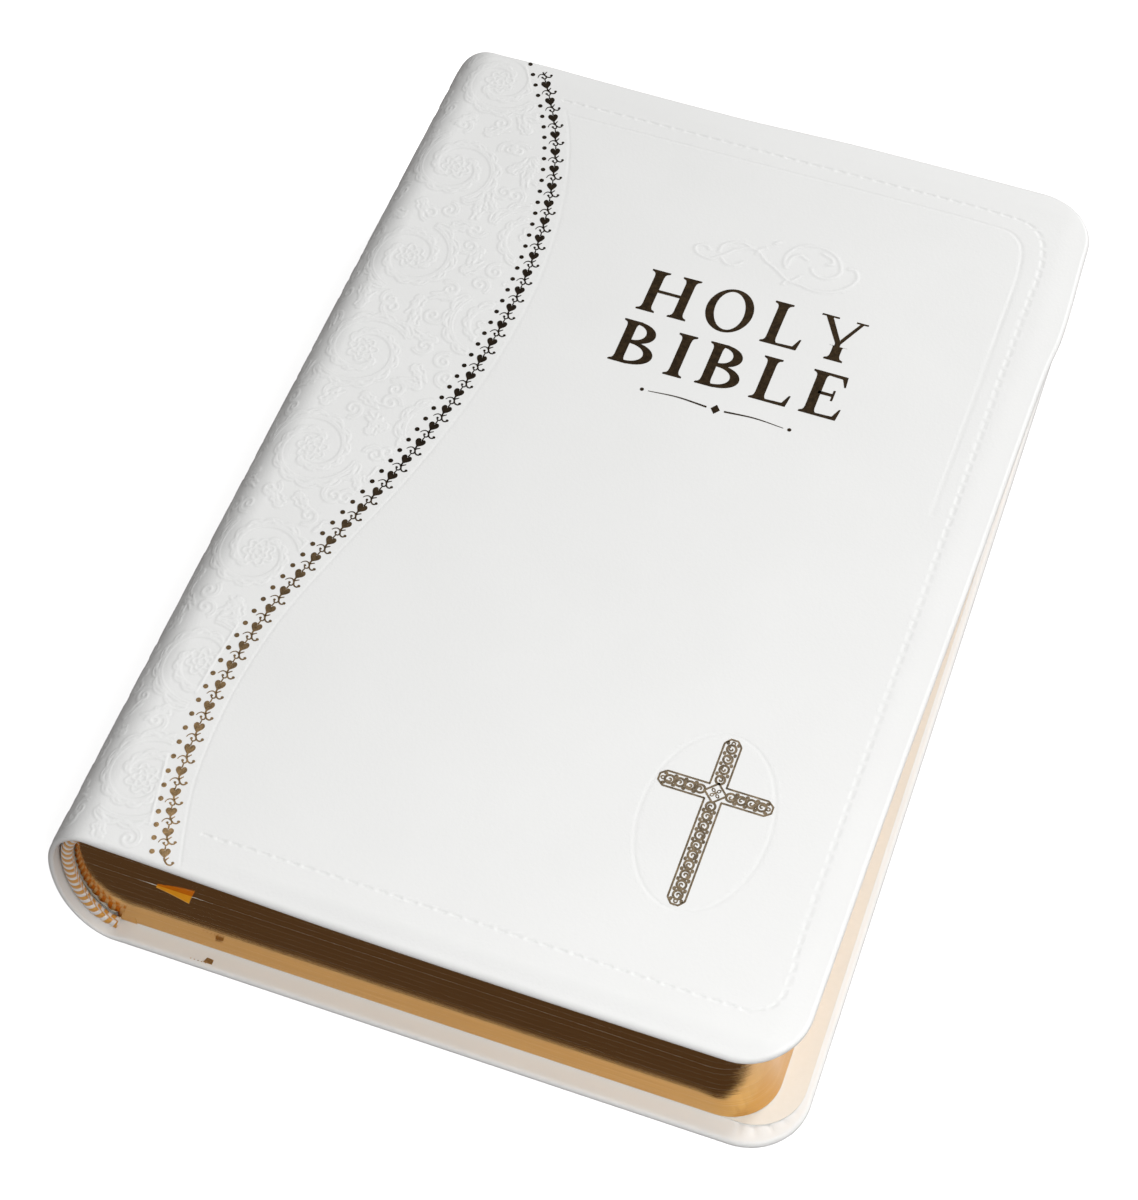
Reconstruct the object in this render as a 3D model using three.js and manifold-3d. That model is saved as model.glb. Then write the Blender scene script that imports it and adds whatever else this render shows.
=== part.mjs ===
// A soft-cover bible, closed and lying on its back cover.
//
// Units are millimetres. +X runs from the spine to the fore edge, +Y from the tail to the head
// and +Z from the back cover to the front cover. The origin is the middle of the footprint, on
// the underside of the back cover. Inside the functions x is measured from the outside of the
// spine, y from the tail of the covers and z from the table; the group at the end of the file
// moves the whole book to its origin.
import * as THREE from "three";
import { mergeVertices } from "three/addons/utils/BufferGeometryUtils.js";
import Module from "manifold-3d";

// ---------------------------------------------------------------- driving dimensions

const COVER_WIDTH = 144; // outside of the spine to the fore edge
const COVER_LENGTH = 210; // tail to head
const BOOK_THICKNESS = 40; // underside of the back cover to the top of the front cover
const COVER_CORNER = 12; // radius of the covers' two fore corners

const SKIN = 0.8; // imitation leather
const CARD = 0.6; // flexible card in each cover and in the spine
const TURNED_SKIN = 0.3; // pared skin where it is turned in over the card
const TURN_IN = 11; // width of that turned-in skin
const ENDPAPER = 0.2; // pastedowns and flyleaves
const PASTEDOWN_FORE = 2.4; // skin left bare outside the pastedown at the fore edge
const PASTEDOWN_ENDS = 4.2; // the same at the tail and the head
const PLY_GAP = 0.1; // glue line between two plies

const SPINE_DEPTH = 11; // how far the rounded spine stands out from its straight sides
const SPINE_POWER = 2.2; // 2 is an ellipse, more is squarer
const SPINE_STEPS = 36; // flats round the spine
const HINGE_X = 13; // line that both covers bend about
const HINGE_GAP = 0.3; // between a cover and the spine along that line

const TAIL_SQUARE = 4.5; // how far the covers pass the pages at the tail and the head
const FORE_SQUARE = 5.5; // the same at the fore edge
const FORE_HOLLOW = 2; // the fore edge's hollow at mid-thickness, which the spine's round leaves
const PAGE_CORNER = 10; // radius of the fore corners of the pages and the pastedowns
const SECTION_COUNT = 16;
const LEAF_GROUPS = 3; // bundles that the first and the last section open in
const RIBBON_ABOVE_SECTION = 7; // counted from the front cover: the ribbon lies under this one
const RIBBON_GAP = 0.5;

const LINER_INSET = 2.2; // all insets are measured from the outside of the spine
const LINER = 0.3;
const MULL = 0.25; // open-weave cloth glued over the sewn folds
const CORDING = 0.4; // tapes, stitches and headband cloth under the mull
const SPINE_REACH = 0.84; // share of the half round that the linings cover

const TAPE_WIDTH = 12;
const TAPE_COUNT = 3;
const STITCH_WIDTH = 0.9;
const STITCH_FROM_END = 17; // kettle stitch to the end of the pages

const HEADBAND_RADIUS = 1.0;
const HEADBAND_SIDES = 10;
const HEADBAND_STEPS = 26;
const HEADBAND_CLOTH = 13; // length of its cloth down the spine

const RIBBON_WIDTH = 7;
const RIBBON_THICKNESS = 0.2;
const RIBBON_HEAD_X = 16.5; // middle of the ribbon where it enters at the head
const RIBBON_TAIL_X = 23.5; // middle of the ribbon where it leaves at the tail
const RIBBON_CUT = 2.7; // how far its long corner hangs out at the tail
const RIBBON_STEPS = 20;

const CORNER_SEGMENTS = 10;

// ---------------------------------------------------------------- worked-out dimensions

const HALF_THICKNESS = BOOK_THICKNESS / 2;
const COVER_THICKNESS = SKIN + CARD + TURNED_SKIN + 2 * PLY_GAP;
const COVER_LEFT = HINGE_X + HINGE_GAP / 2;
const SPINE_RIGHT = HINGE_X - HINGE_GAP / 2;
const PAGE_TAIL = TAIL_SQUARE;
const PAGE_HEAD = COVER_LENGTH - TAIL_SQUARE;
const PAGE_FORE = COVER_WIDTH - FORE_SQUARE;
const PASTEDOWN_BASE = COVER_THICKNESS + PLY_GAP;
const FLYLEAF_BASE = PASTEDOWN_BASE + ENDPAPER + PLY_GAP;
const BLOCK_BASE = FLYLEAF_BASE + ENDPAPER + PLY_GAP;
const SECTION_PITCH = (BOOK_THICKNESS - 2 * BLOCK_BASE - RIBBON_GAP) / SECTION_COUNT;
const MULL_INSET = LINER_INSET + LINER + PLY_GAP;
const CORDING_INSET = MULL_INSET + MULL + PLY_GAP;
const FOLD_INSET = CORDING_INSET + CORDING + PLY_GAP;
const HEADBAND_INSET = FOLD_INSET + HEADBAND_RADIUS;

// ---------------------------------------------------------------- materials

const plain = (color, roughness) =>
  new THREE.MeshStandardMaterial({ color, roughness, metalness: 0 });

const materials = {
  skin: plain(0xf2f1ef, 0.5),
  card: plain(0xb9a98c, 0.9),
  endpaper: plain(0xefe6d8, 0.8),
  pages: new THREE.MeshStandardMaterial({ color: 0x9c7434, roughness: 0.35, metalness: 0.8 }),
  liner: plain(0xa98a5d, 0.9),
  mull: plain(0xe6e0d0, 0.95),
  tape: plain(0xe9e4d8, 0.9),
  thread: plain(0xf4f2ea, 0.7),
  headband: plain(0xe0a04a, 0.6),
  ribbon: plain(0xc98a10, 0.35),
};

// ---------------------------------------------------------------- shape helpers

const wasm = await Module();
wasm.setup();

// A closed three.js geometry as a manifold solid.
function toSolid(geometry) {
  const bare = geometry.clone();
  bare.deleteAttribute("normal");
  bare.deleteAttribute("uv");
  const merged = mergeVertices(bare);
  return new wasm.Manifold(
    new wasm.Mesh({
      numProp: 3,
      vertProperties: Float32Array.from(merged.attributes.position.array),
      triVerts: Uint32Array.from(merged.index.array),
    })
  );
}

function toGeometry(solid) {
  const mesh = solid.getMesh();
  const geometry = new THREE.BufferGeometry();
  geometry.setAttribute("position", new THREE.BufferAttribute(mesh.vertProperties, 3));
  geometry.setIndex(new THREE.BufferAttribute(mesh.triVerts, 1));
  geometry.computeVertexNormals();
  return geometry;
}

// A flat outline in x and y, raised from `base` to `top`.
function plate(outline, base, top) {
  const geometry = new THREE.ExtrudeGeometry(outline, {
    depth: top - base,
    bevelEnabled: false,
    curveSegments: CORNER_SEGMENTS,
  });
  return geometry.translate(0, 0, base);
}

// An outline in x and z, run along the book from y = `tail` to y = `head`.
function bar(outline, tail, head) {
  const geometry = new THREE.ExtrudeGeometry(outline, {
    depth: head - tail,
    bevelEnabled: false,
    curveSegments: CORNER_SEGMENTS,
  });
  return geometry.rotateX(Math.PI / 2).translate(0, head, 0);
}

// A sheet with square corners at the spine and round ones at the fore edge.
function sheetOutline(left, right, tail, head, radius) {
  const outline = new THREE.Shape();
  outline.moveTo(left, tail);
  outline.lineTo(right - radius, tail);
  outline.absarc(right - radius, tail + radius, radius, -Math.PI / 2, 0, false);
  outline.lineTo(right, head - radius);
  outline.absarc(right - radius, head - radius, radius, 0, Math.PI / 2, false);
  outline.lineTo(left, head);
  outline.closePath();
  return outline;
}

// The covers' outline, pulled in by `inset` at its three free edges.
function coverOutline(left, inset) {
  return sheetOutline(
    left,
    COVER_WIDTH - inset,
    inset,
    COVER_LENGTH - inset,
    Math.max(COVER_CORNER - inset, 1)
  );
}

// Pages whose middle leaf lies at height z. The fore edge is hollow across the thickness.
function pageOutline(left, z) {
  const share = (z - HALF_THICKNESS) / (HALF_THICKNESS - BLOCK_BASE);
  const hollow = FORE_HOLLOW * Math.max(1 - share * share, 0);
  return sheetOutline(left, PAGE_FORE - hollow, PAGE_TAIL, PAGE_HEAD, PAGE_CORNER);
}

// A point of the spine's round, `inset` inside its outside. `turn` is -1 at the back cover,
// 0 at the middle of the spine and 1 at the front cover.
function spinePoint(inset, turn) {
  const angle = (turn * Math.PI) / 2;
  const outward = Math.pow(Math.max(Math.cos(angle), 0), 2 / SPINE_POWER);
  const upward = Math.sign(angle) * Math.pow(Math.abs(Math.sin(angle)), 2 / SPINE_POWER);
  return new THREE.Vector2(
    SPINE_DEPTH - (SPINE_DEPTH - inset) * outward,
    HALF_THICKNESS + (HALF_THICKNESS - inset) * upward
  );
}

function spineCurve(inset, reach, steps) {
  const points = [];
  for (let i = 0; i <= steps; i++) {
    points.push(spinePoint(inset, reach * ((2 * i) / steps - 1)));
  }
  return points;
}

// A curved ply that follows the spine between two insets. With `straightTo` both of its edges
// run on along the covers as far as that x.
function spineBand(inset, thickness, reach, straightTo) {
  const outer = spineCurve(inset, reach, SPINE_STEPS);
  const inner = spineCurve(inset + thickness, reach, SPINE_STEPS).reverse();
  if (straightTo === undefined) {
    return new THREE.Shape([...outer, ...inner]);
  }
  const corner = (depth) => new THREE.Vector2(straightTo, depth);
  return new THREE.Shape([
    corner(inset),
    ...outer,
    corner(BOOK_THICKNESS - inset),
    corner(BOOK_THICKNESS - inset - thickness),
    ...inner,
    corner(inset + thickness),
  ]);
}

// How far from the outside of the spine a fold lies whose farthest face is at height z.
function foldX(z) {
  const share = Math.abs(z - HALF_THICKNESS) / (HALF_THICKNESS - FOLD_INSET);
  if (share >= 1) {
    return SPINE_DEPTH;
  }
  const outward = Math.pow(1 - Math.pow(share, SPINE_POWER), 1 / SPINE_POWER);
  return SPINE_DEPTH - (SPINE_DEPTH - FOLD_INSET) * outward;
}

// ---------------------------------------------------------------- scene

const book = new THREE.Group();
book.name = "bible";
book.position.set(-COVER_WIDTH / 2, -COVER_LENGTH / 2, 0);

function addPiece(name, geometry, material) {
  const mesh = new THREE.Mesh(geometry, material);
  mesh.name = name;
  book.add(mesh);
}

// A height measured in from one face of the book: "back" counts up from the table and
// "front" counts down from the top. The two heights come back lowest first.
function heights(side, near, far) {
  return side === "back" ? [near, far] : [BOOK_THICKNESS - far, BOOK_THICKNESS - near];
}

// Skin of one cover: the outer sheet with its three free edges turned in round the card.
function coverSkin(side) {
  const cardDepth = SKIN + CARD + 2 * PLY_GAP;
  const overlap = 1; // the cutters run past the open side
  const whole = toSolid(plate(coverOutline(COVER_LEFT, 0), ...heights(side, 0, COVER_THICKNESS)));
  const cardPocket = toSolid(
    plate(coverOutline(COVER_LEFT - overlap, SKIN), ...heights(side, SKIN, cardDepth))
  );
  const window = toSolid(
    plate(
      coverOutline(COVER_LEFT - overlap, TURN_IN),
      ...heights(side, cardDepth - PLY_GAP, COVER_THICKNESS + overlap)
    )
  );
  return toGeometry(whole.subtract(cardPocket).subtract(window));
}

function addCover(side) {
  addPiece(`${side}_cover_skin`, coverSkin(side), materials.skin);
  const cardBase = SKIN + PLY_GAP;
  addPiece(
    `${side}_cover_card`,
    plate(coverOutline(COVER_LEFT, SKIN + PLY_GAP), ...heights(side, cardBase, cardBase + CARD)),
    materials.card
  );
  const pastedownOutline = sheetOutline(
    COVER_LEFT,
    COVER_WIDTH - PASTEDOWN_FORE,
    PASTEDOWN_ENDS,
    COVER_LENGTH - PASTEDOWN_ENDS,
    PAGE_CORNER
  );
  addPiece(
    `${side}_pastedown`,
    plate(pastedownOutline, ...heights(side, PASTEDOWN_BASE, PASTEDOWN_BASE + ENDPAPER)),
    materials.endpaper
  );
  addPiece(
    `${side}_flyleaf`,
    plate(pageOutline(COVER_LEFT, 0), ...heights(side, FLYLEAF_BASE, FLYLEAF_BASE + ENDPAPER)),
    materials.endpaper
  );
}

// The outermost section on each side: its sewn folds stay in the spine, and its leaves turn
// in bundles. Bundle 1 lies next to the flyleaf.
function addTurningSection(side) {
  const thickness = SECTION_PITCH - PLY_GAP;
  addPiece(
    `${side}_section_folds`,
    plate(
      sheetOutline(SPINE_DEPTH, SPINE_RIGHT, PAGE_TAIL, PAGE_HEAD, PLY_GAP),
      ...heights(side, BLOCK_BASE, BLOCK_BASE + thickness)
    ),
    materials.pages
  );
  const pitch = SECTION_PITCH / LEAF_GROUPS;
  for (let group = 0; group < LEAF_GROUPS; group++) {
    const near = BLOCK_BASE + group * pitch;
    addPiece(
      `${side}_leaves_${group + 1}`,
      plate(pageOutline(COVER_LEFT, near), ...heights(side, near, near + pitch - PLY_GAP)),
      materials.pages
    );
  }
}

// Depth below the front cover at which a section starts; the ribbon's gap pushes on those
// that lie behind it.
function sectionDepth(number) {
  const gap = number > RIBBON_ABOVE_SECTION ? RIBBON_GAP : 0;
  return BLOCK_BASE + (number - 1) * SECTION_PITCH + gap;
}

// The sections between the two turning ones, each with its fold on the spine's round.
function addFixedSections() {
  for (let number = 2; number < SECTION_COUNT; number++) {
    const near = sectionDepth(number);
    const [base, top] = heights("front", near, near + SECTION_PITCH - PLY_GAP);
    const farthest = base + top > BOOK_THICKNESS ? top : base;
    addPiece(
      `section_${String(number).padStart(2, "0")}`,
      plate(pageOutline(foldX(farthest), (base + top) / 2), base, top),
      materials.pages
    );
  }
}

// Plies that wrap the spine, from the outside in.
function addSpine() {
  const along = (outline) => bar(outline, PAGE_TAIL, PAGE_HEAD);
  addPiece(
    "spine_skin",
    bar(spineBand(0, SKIN, 1, SPINE_RIGHT), 0, COVER_LENGTH),
    materials.skin
  );
  addPiece(
    "spine_card",
    bar(spineBand(SKIN + PLY_GAP, CARD, 1, SPINE_DEPTH), SKIN, COVER_LENGTH - SKIN),
    materials.card
  );
  addPiece("spine_liner", along(spineBand(LINER_INSET, LINER, SPINE_REACH)), materials.liner);
  addPiece("mull", along(spineBand(MULL_INSET, MULL, SPINE_REACH)), materials.mull);
}

// A strip of cording across the folds, centred on y.
function addCording(name, y, width, material) {
  const outline = spineBand(CORDING_INSET, CORDING, SPINE_REACH);
  addPiece(name, bar(outline, y - width / 2, y + width / 2), material);
}

function addSewing() {
  const pageLength = PAGE_HEAD - PAGE_TAIL;
  for (let i = 1; i <= TAPE_COUNT; i++) {
    const y = PAGE_TAIL + (pageLength * i) / (TAPE_COUNT + 1);
    addCording(`sewing_tape_${i}`, y, TAPE_WIDTH, materials.tape);
  }
  addCording("kettle_stitch_tail", PAGE_TAIL + STITCH_FROM_END, STITCH_WIDTH, materials.thread);
  addCording("kettle_stitch_head", PAGE_HEAD - STITCH_FROM_END, STITCH_WIDTH, materials.thread);
}

// A rolled band on one end of the folds, with the cloth that glues it to the spine.
// `outward` is -1 at the tail and 1 at the head.
function addHeadband(name, pageEnd, outward) {
  const y = pageEnd + outward * (HEADBAND_RADIUS + PLY_GAP);
  const route = spineCurve(HEADBAND_INSET, SPINE_REACH, HEADBAND_STEPS).map(
    (point) => new THREE.Vector3(point.x, y, point.y)
  );
  const section = new THREE.Shape();
  for (let i = 0; i < HEADBAND_SIDES; i++) {
    const angle = (2 * Math.PI * i) / HEADBAND_SIDES;
    const x = HEADBAND_RADIUS * Math.cos(angle);
    const across = HEADBAND_RADIUS * Math.sin(angle);
    if (i === 0) {
      section.moveTo(x, across);
    } else {
      section.lineTo(x, across);
    }
  }
  section.closePath();
  const roll = new THREE.ExtrudeGeometry(section, {
    steps: HEADBAND_STEPS,
    bevelEnabled: false,
    extrudePath: new THREE.CatmullRomCurve3(route),
  });
  addPiece(name, roll, materials.headband);
  const clothMiddle = y - (outward * HEADBAND_CLOTH) / 2;
  addCording(`${name}_cloth`, clothMiddle, HEADBAND_CLOTH, materials.tape);
}

// The ribbon marker: flat between two sections, drifting away from the spine towards the
// tail, where its slanting cut end hangs out.
function addRibbon() {
  const middle = (y) => {
    const share = (PAGE_HEAD - y) / (PAGE_HEAD - PAGE_TAIL);
    const drift = THREE.MathUtils.smoothstep(share, 0, 1);
    return THREE.MathUtils.lerp(RIBBON_HEAD_X, RIBBON_TAIL_X, drift);
  };
  const edge = (side, tail) => {
    const points = [];
    for (let i = 0; i <= RIBBON_STEPS; i++) {
      const y = THREE.MathUtils.lerp(tail, PAGE_HEAD, i / RIBBON_STEPS);
      points.push(new THREE.Vector2(middle(y) + (side * RIBBON_WIDTH) / 2, y));
    }
    return points;
  };
  const foreSide = edge(1, PAGE_TAIL - RIBBON_CUT);
  const spineSide = edge(-1, PAGE_TAIL).reverse();
  const depth = sectionDepth(RIBBON_ABOVE_SECTION + 1) - (RIBBON_GAP + PLY_GAP) / 2;
  const half = RIBBON_THICKNESS / 2;
  addPiece(
    "ribbon_marker",
    plate(
      new THREE.Shape([...foreSide, ...spineSide]),
      ...heights("front", depth - half, depth + half)
    ),
    materials.ribbon
  );
}

for (const side of ["front", "back"]) {
  addCover(side);
  addTurningSection(side);
}
addFixedSections();
addSpine();
addSewing();
addHeadband("tail_headband", PAGE_TAIL, -1);
addHeadband("head_headband", PAGE_HEAD, 1);
addRibbon();

export default book;
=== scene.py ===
# Looks for the soft-cover bible: every visible piece of the CAD row rebuilt as a detailed mesh
# with procedural materials, lit and seen as in the photo.
#
# Points are worked out in book millimetres: x from the outside of the spine, y from the tail
# and z from the table. to_frame() turns them into the row frame's metres.
import math

import bpy
import numpy as np
from mathutils import Matrix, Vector
from mathutils.geometry import tessellate_polygon


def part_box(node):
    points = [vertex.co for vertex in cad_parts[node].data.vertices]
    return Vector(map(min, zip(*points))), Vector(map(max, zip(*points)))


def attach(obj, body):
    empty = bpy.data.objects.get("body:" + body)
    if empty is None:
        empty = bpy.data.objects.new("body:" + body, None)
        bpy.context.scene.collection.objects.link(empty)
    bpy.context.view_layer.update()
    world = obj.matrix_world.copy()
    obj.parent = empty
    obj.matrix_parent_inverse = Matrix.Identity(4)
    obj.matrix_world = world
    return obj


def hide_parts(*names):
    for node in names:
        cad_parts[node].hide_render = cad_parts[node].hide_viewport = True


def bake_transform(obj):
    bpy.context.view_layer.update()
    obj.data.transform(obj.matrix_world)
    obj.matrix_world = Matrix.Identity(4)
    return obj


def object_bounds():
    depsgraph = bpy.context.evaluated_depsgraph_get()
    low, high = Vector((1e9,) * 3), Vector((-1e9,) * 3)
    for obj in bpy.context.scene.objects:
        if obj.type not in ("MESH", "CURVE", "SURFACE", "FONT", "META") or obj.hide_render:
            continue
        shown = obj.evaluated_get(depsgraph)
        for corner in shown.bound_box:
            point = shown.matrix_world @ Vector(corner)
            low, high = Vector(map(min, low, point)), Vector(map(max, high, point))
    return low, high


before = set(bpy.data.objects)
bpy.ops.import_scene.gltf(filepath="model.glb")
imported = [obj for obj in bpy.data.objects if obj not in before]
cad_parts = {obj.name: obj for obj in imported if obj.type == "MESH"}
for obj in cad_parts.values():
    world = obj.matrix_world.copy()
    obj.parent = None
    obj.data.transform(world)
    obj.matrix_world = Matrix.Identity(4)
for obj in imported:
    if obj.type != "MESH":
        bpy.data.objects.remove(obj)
BOUNDS_AT_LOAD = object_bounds()

# ---------------------------------------------------------------- dimensions taken from the CAD

MM = 0.001
LOW_CORNER = np.array(BOUNDS_AT_LOAD[0]) / MM
WIDTH, LENGTH, THICKNESS = np.array(BOUNDS_AT_LOAD[1]) / MM - LOW_CORNER
MIDDLE = THICKNESS / 2


def node_box(name):
    """Lowest and highest corner of a CAD node in book millimetres."""
    low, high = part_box(name)
    return np.array(low) / MM - LOW_CORNER, np.array(high) / MM - LOW_CORNER


FLYLEAF_LOW, FLYLEAF_HIGH = node_box("back_flyleaf")
COVER_THICKNESS = node_box("back_cover_skin")[1][2]
PAGE_TAIL = FLYLEAF_LOW[1] - 0.5  # the pages are seen to reach a little further than the CAD
PAGE_HEAD = FLYLEAF_HIGH[1]
PAGE_FORE = FLYLEAF_HIGH[0]
BLOCK_BASE = node_box("back_section_folds")[0][2]
HINGE_X = (FLYLEAF_LOW[0] + node_box("spine_skin")[1][0]) / 2
RIBBON_LOW, RIBBON_HIGH = node_box("ribbon_marker")

# ---------------------------------------------------------------- own dimensions, millimetres

# SPINE_POWER shapes the spine's round: 2 is an ellipse, and more is squarer.
SPINE_DEPTH = 11
SPINE_POWER = 2.2
COVER_CORNER = 12
PAGE_CORNER = 10
FORE_HOLLOW = 2
SKIN = 0.8
TURNED_SKIN = 0.3
TURN_IN = 10
SPINE_EDGE = 1.15
BEND_START = HINGE_X - 0.1
HEADBAND_INSET = 2.7
HEADBAND_RADIUS = 1.15
HEADBAND_OUT = 0.65
SPINE_REACH = 0.93
LEAVES_PER_SECTION = 12
LEAF_STRAY = 0.0012
LEAF_EDGE = 0.001
MARKER_GAP = 0.26
LEAF_GAP = 0.01
MARKER_WIDTH = 7.0
MARKER_LEVEL = (RIBBON_LOW[2] + RIBBON_HIGH[2]) / 2
RASTER = 0.12
FOIL_PROUD = 0.04
FOIL_SUNK = 0.12
# Neighbouring shapes stand at three heights, this much apart, so that no two share a face.
FOIL_STAGGER = 0.004
FOIL_STEP = 0.22
SLIVER = 1e-9

quarter_turn = math.pi / 2
random = np.random.default_rng(16)


def smoothstep(value, start, end):
    share = np.clip((value - start) / (end - start), 0, 1)
    return share * share * (3 - 2 * share)


def unit(vectors):
    return vectors / np.linalg.norm(vectors, axis=-1, keepdims=True)


def catmull_rom(points, steps):
    """A smooth line through points, `steps` samples per span."""
    points = np.asarray(points, float)
    ends = (2 * points[0] - points[1], 2 * points[-1] - points[-2])
    p = np.vstack((ends[0], points, ends[1]))
    t = np.linspace(0, 1, steps, endpoint=False)[:, None]
    spans = []
    for a, b, c, d in zip(p[:-3], p[1:-2], p[2:-1], p[3:]):
        cubic = -a + 3 * b - 3 * c + d
        square = 2 * a - 5 * b + 4 * c - d
        spans.append(0.5 * (2 * b + (c - a) * t + square * t**2 + cubic * t**3))
    return np.vstack(spans + [points[-1:]])


def even_spacing(line, step):
    """The same line with its points about `step` apart."""
    lengths = np.linalg.norm(np.diff(line, axis=0), axis=1)
    along = np.concatenate(([0], np.cumsum(lengths)))
    count = max(int(round(along[-1] / step)), 1)
    wanted = np.linspace(0, along[-1], count + 1)
    return np.column_stack([np.interp(wanted, along, axis) for axis in line.T])


def turned(points, angle, centre=(0, 0), mirror=1):
    """Flat points mirrored in y, turned by `angle` and moved to `centre`."""
    points = np.asarray(points, float) * (1, mirror)
    cos, sin = math.cos(angle), math.sin(angle)
    return points @ np.array(((cos, sin), (-sin, cos))) + centre


# ---------------------------------------------------------------- shape of the covers

# How far the front cover of this copy has slipped sideways: (slip, y) from tail to head.
SLIP = catmull_rom(
    ((-1.9, 0), (-1.5, 20), (-0.6, 61), (0.8, 108), (2.0, 158), (3.0, 174), (2.5, 194), (2.2, 210)),
    steps=12,
)
# How far its head edge has crept along the book: (x, creep) from spine to fore edge.
HEAD_CREEP = catmull_rom(
    (
        (0, -1.0), (13, -0.9), (25, -0.6), (45, -0.9), (67, -1.0),
        (80, -0.6), (95, -0.2), (128, -0.3), (144, -0.6),
    ),
    steps=12,
)
# The same at the tail.
TAIL_CREEP = catmull_rom(((0, 0), (13, 0), (34, -0.3), (67, -0.8), (100, -1.0), (144, -1.0)), steps=12)
# How far its free edges droop, and how far from the spine the droop is full.
TAIL_DROOP = 0.7
TAIL_DROOP_FULL = 60
HEAD_DROOP = 0.3
HEAD_DROOP_FULL = 34
FORE_DROOP = 0.2
# How far the back cover's fore edge has spread, and where the spine's creep fades out of it.
BACK_CREEP = 0.7
BACK_FADE_START = HINGE_X - 3
BACK_FADE_END = HINGE_X + 12


def cover_reach(x):
    return np.clip((x - HINGE_X) / (WIDTH - HINGE_X), 0, 1)


def cover_slip(x, y):
    return np.interp(y, SLIP[:, 1], SLIP[:, 0]) * cover_reach(x)


def head_creep(x, y):
    return np.interp(x, HEAD_CREEP[:, 0], HEAD_CREEP[:, 1]) * smoothstep(y, LENGTH / 2, LENGTH)


def cover_creep(x, y):
    tail = np.interp(x, TAIL_CREEP[:, 0], TAIL_CREEP[:, 1]) * smoothstep(-y, -LENGTH / 3, 0)
    return head_creep(x, y) + tail


def front_flex(points):
    """The front cover's slip, creep and drooping edges. The spine keeps its shape."""
    x, y, z = points.T
    past_head = smoothstep(y, PAGE_HEAD - 1, LENGTH)
    past_tail = smoothstep(-y, -PAGE_TAIL - 1, 0)
    lift = -HEAD_DROOP * smoothstep(x, HINGE_X, HEAD_DROOP_FULL) * past_head
    lift -= TAIL_DROOP * smoothstep(x, HINGE_X, TAIL_DROOP_FULL) * past_tail
    lift -= FORE_DROOP * smoothstep(x, PAGE_FORE - 1, WIDTH)
    return np.column_stack((x + cover_slip(x, y), y + cover_creep(x, y), z + lift))


def unslipped(line):
    """Where points measured on the slipped front cover belong on the straight one."""
    x, y = np.asarray(line, float).T
    return np.column_stack((x - cover_slip(x, y), y - cover_creep(x, y)))


def back_flex(points):
    """The back cover lies flat on the table, spread a little at the fore edge."""
    x, y, z = points.T
    on_spine = 1 - smoothstep(x, BACK_FADE_START, BACK_FADE_END)
    creep = head_creep(x, y) * on_spine
    return np.column_stack((x + BACK_CREEP * cover_reach(x) ** 2, y + creep, THICKNESS - z))


FLEX = {"front": front_flex, "back": back_flex}

# The round of the spine, front half: outer points and how far they are from the flat cover.
round_angle = np.linspace(0, quarter_turn, 400)
ROUND = np.column_stack(
    (
        SPINE_DEPTH - SPINE_DEPTH * np.cos(round_angle) ** (2 / SPINE_POWER),
        MIDDLE + MIDDLE * np.sin(round_angle) ** (2 / SPINE_POWER),
    )
)
round_steps = np.linalg.norm(np.diff(ROUND, axis=0), axis=1)
ROUND_ALONG = SPINE_DEPTH - round_steps.sum() + np.concatenate(([0], np.cumsum(round_steps)))
round_tangent = unit(np.gradient(ROUND, ROUND_ALONG, axis=0))
UNROLLED_START = ROUND_ALONG[0]


def wrap(along, y, depth):
    """Points of the front cover and spine. `along` is x on the flat and runs on round the
    spine to UNROLLED_START; `depth` is measured inwards from the outside."""
    flat = along >= SPINE_DEPTH
    x = np.where(flat, along, np.interp(along, ROUND_ALONG, ROUND[:, 0]))
    z = np.where(flat, THICKNESS, np.interp(along, ROUND_ALONG, ROUND[:, 1]))
    inward_x = np.where(flat, 0, np.interp(along, ROUND_ALONG, round_tangent[:, 1]))
    inward_z = np.where(flat, -1, -np.interp(along, ROUND_ALONG, round_tangent[:, 0]))
    return np.column_stack((x + inward_x * depth, y, z + inward_z * depth))


def to_frame(points):
    return (np.asarray(points, float) + LOW_CORNER) * MM


# ---------------------------------------------------------------- mesh building


# Faces that meet at more than this angle keep a sharp edge between them.
SHARP_ANGLE = math.radians(50)


def enclosed_volume(points, blocks):
    total = 0.0
    for block in blocks:
        first = points[block[:, 0]]
        for i in range(1, block.shape[1] - 1):
            second = points[block[:, i]]
            third = points[block[:, i + 1]]
            total += np.einsum("ij,ij->", first, np.cross(second, third))
    return total


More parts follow.
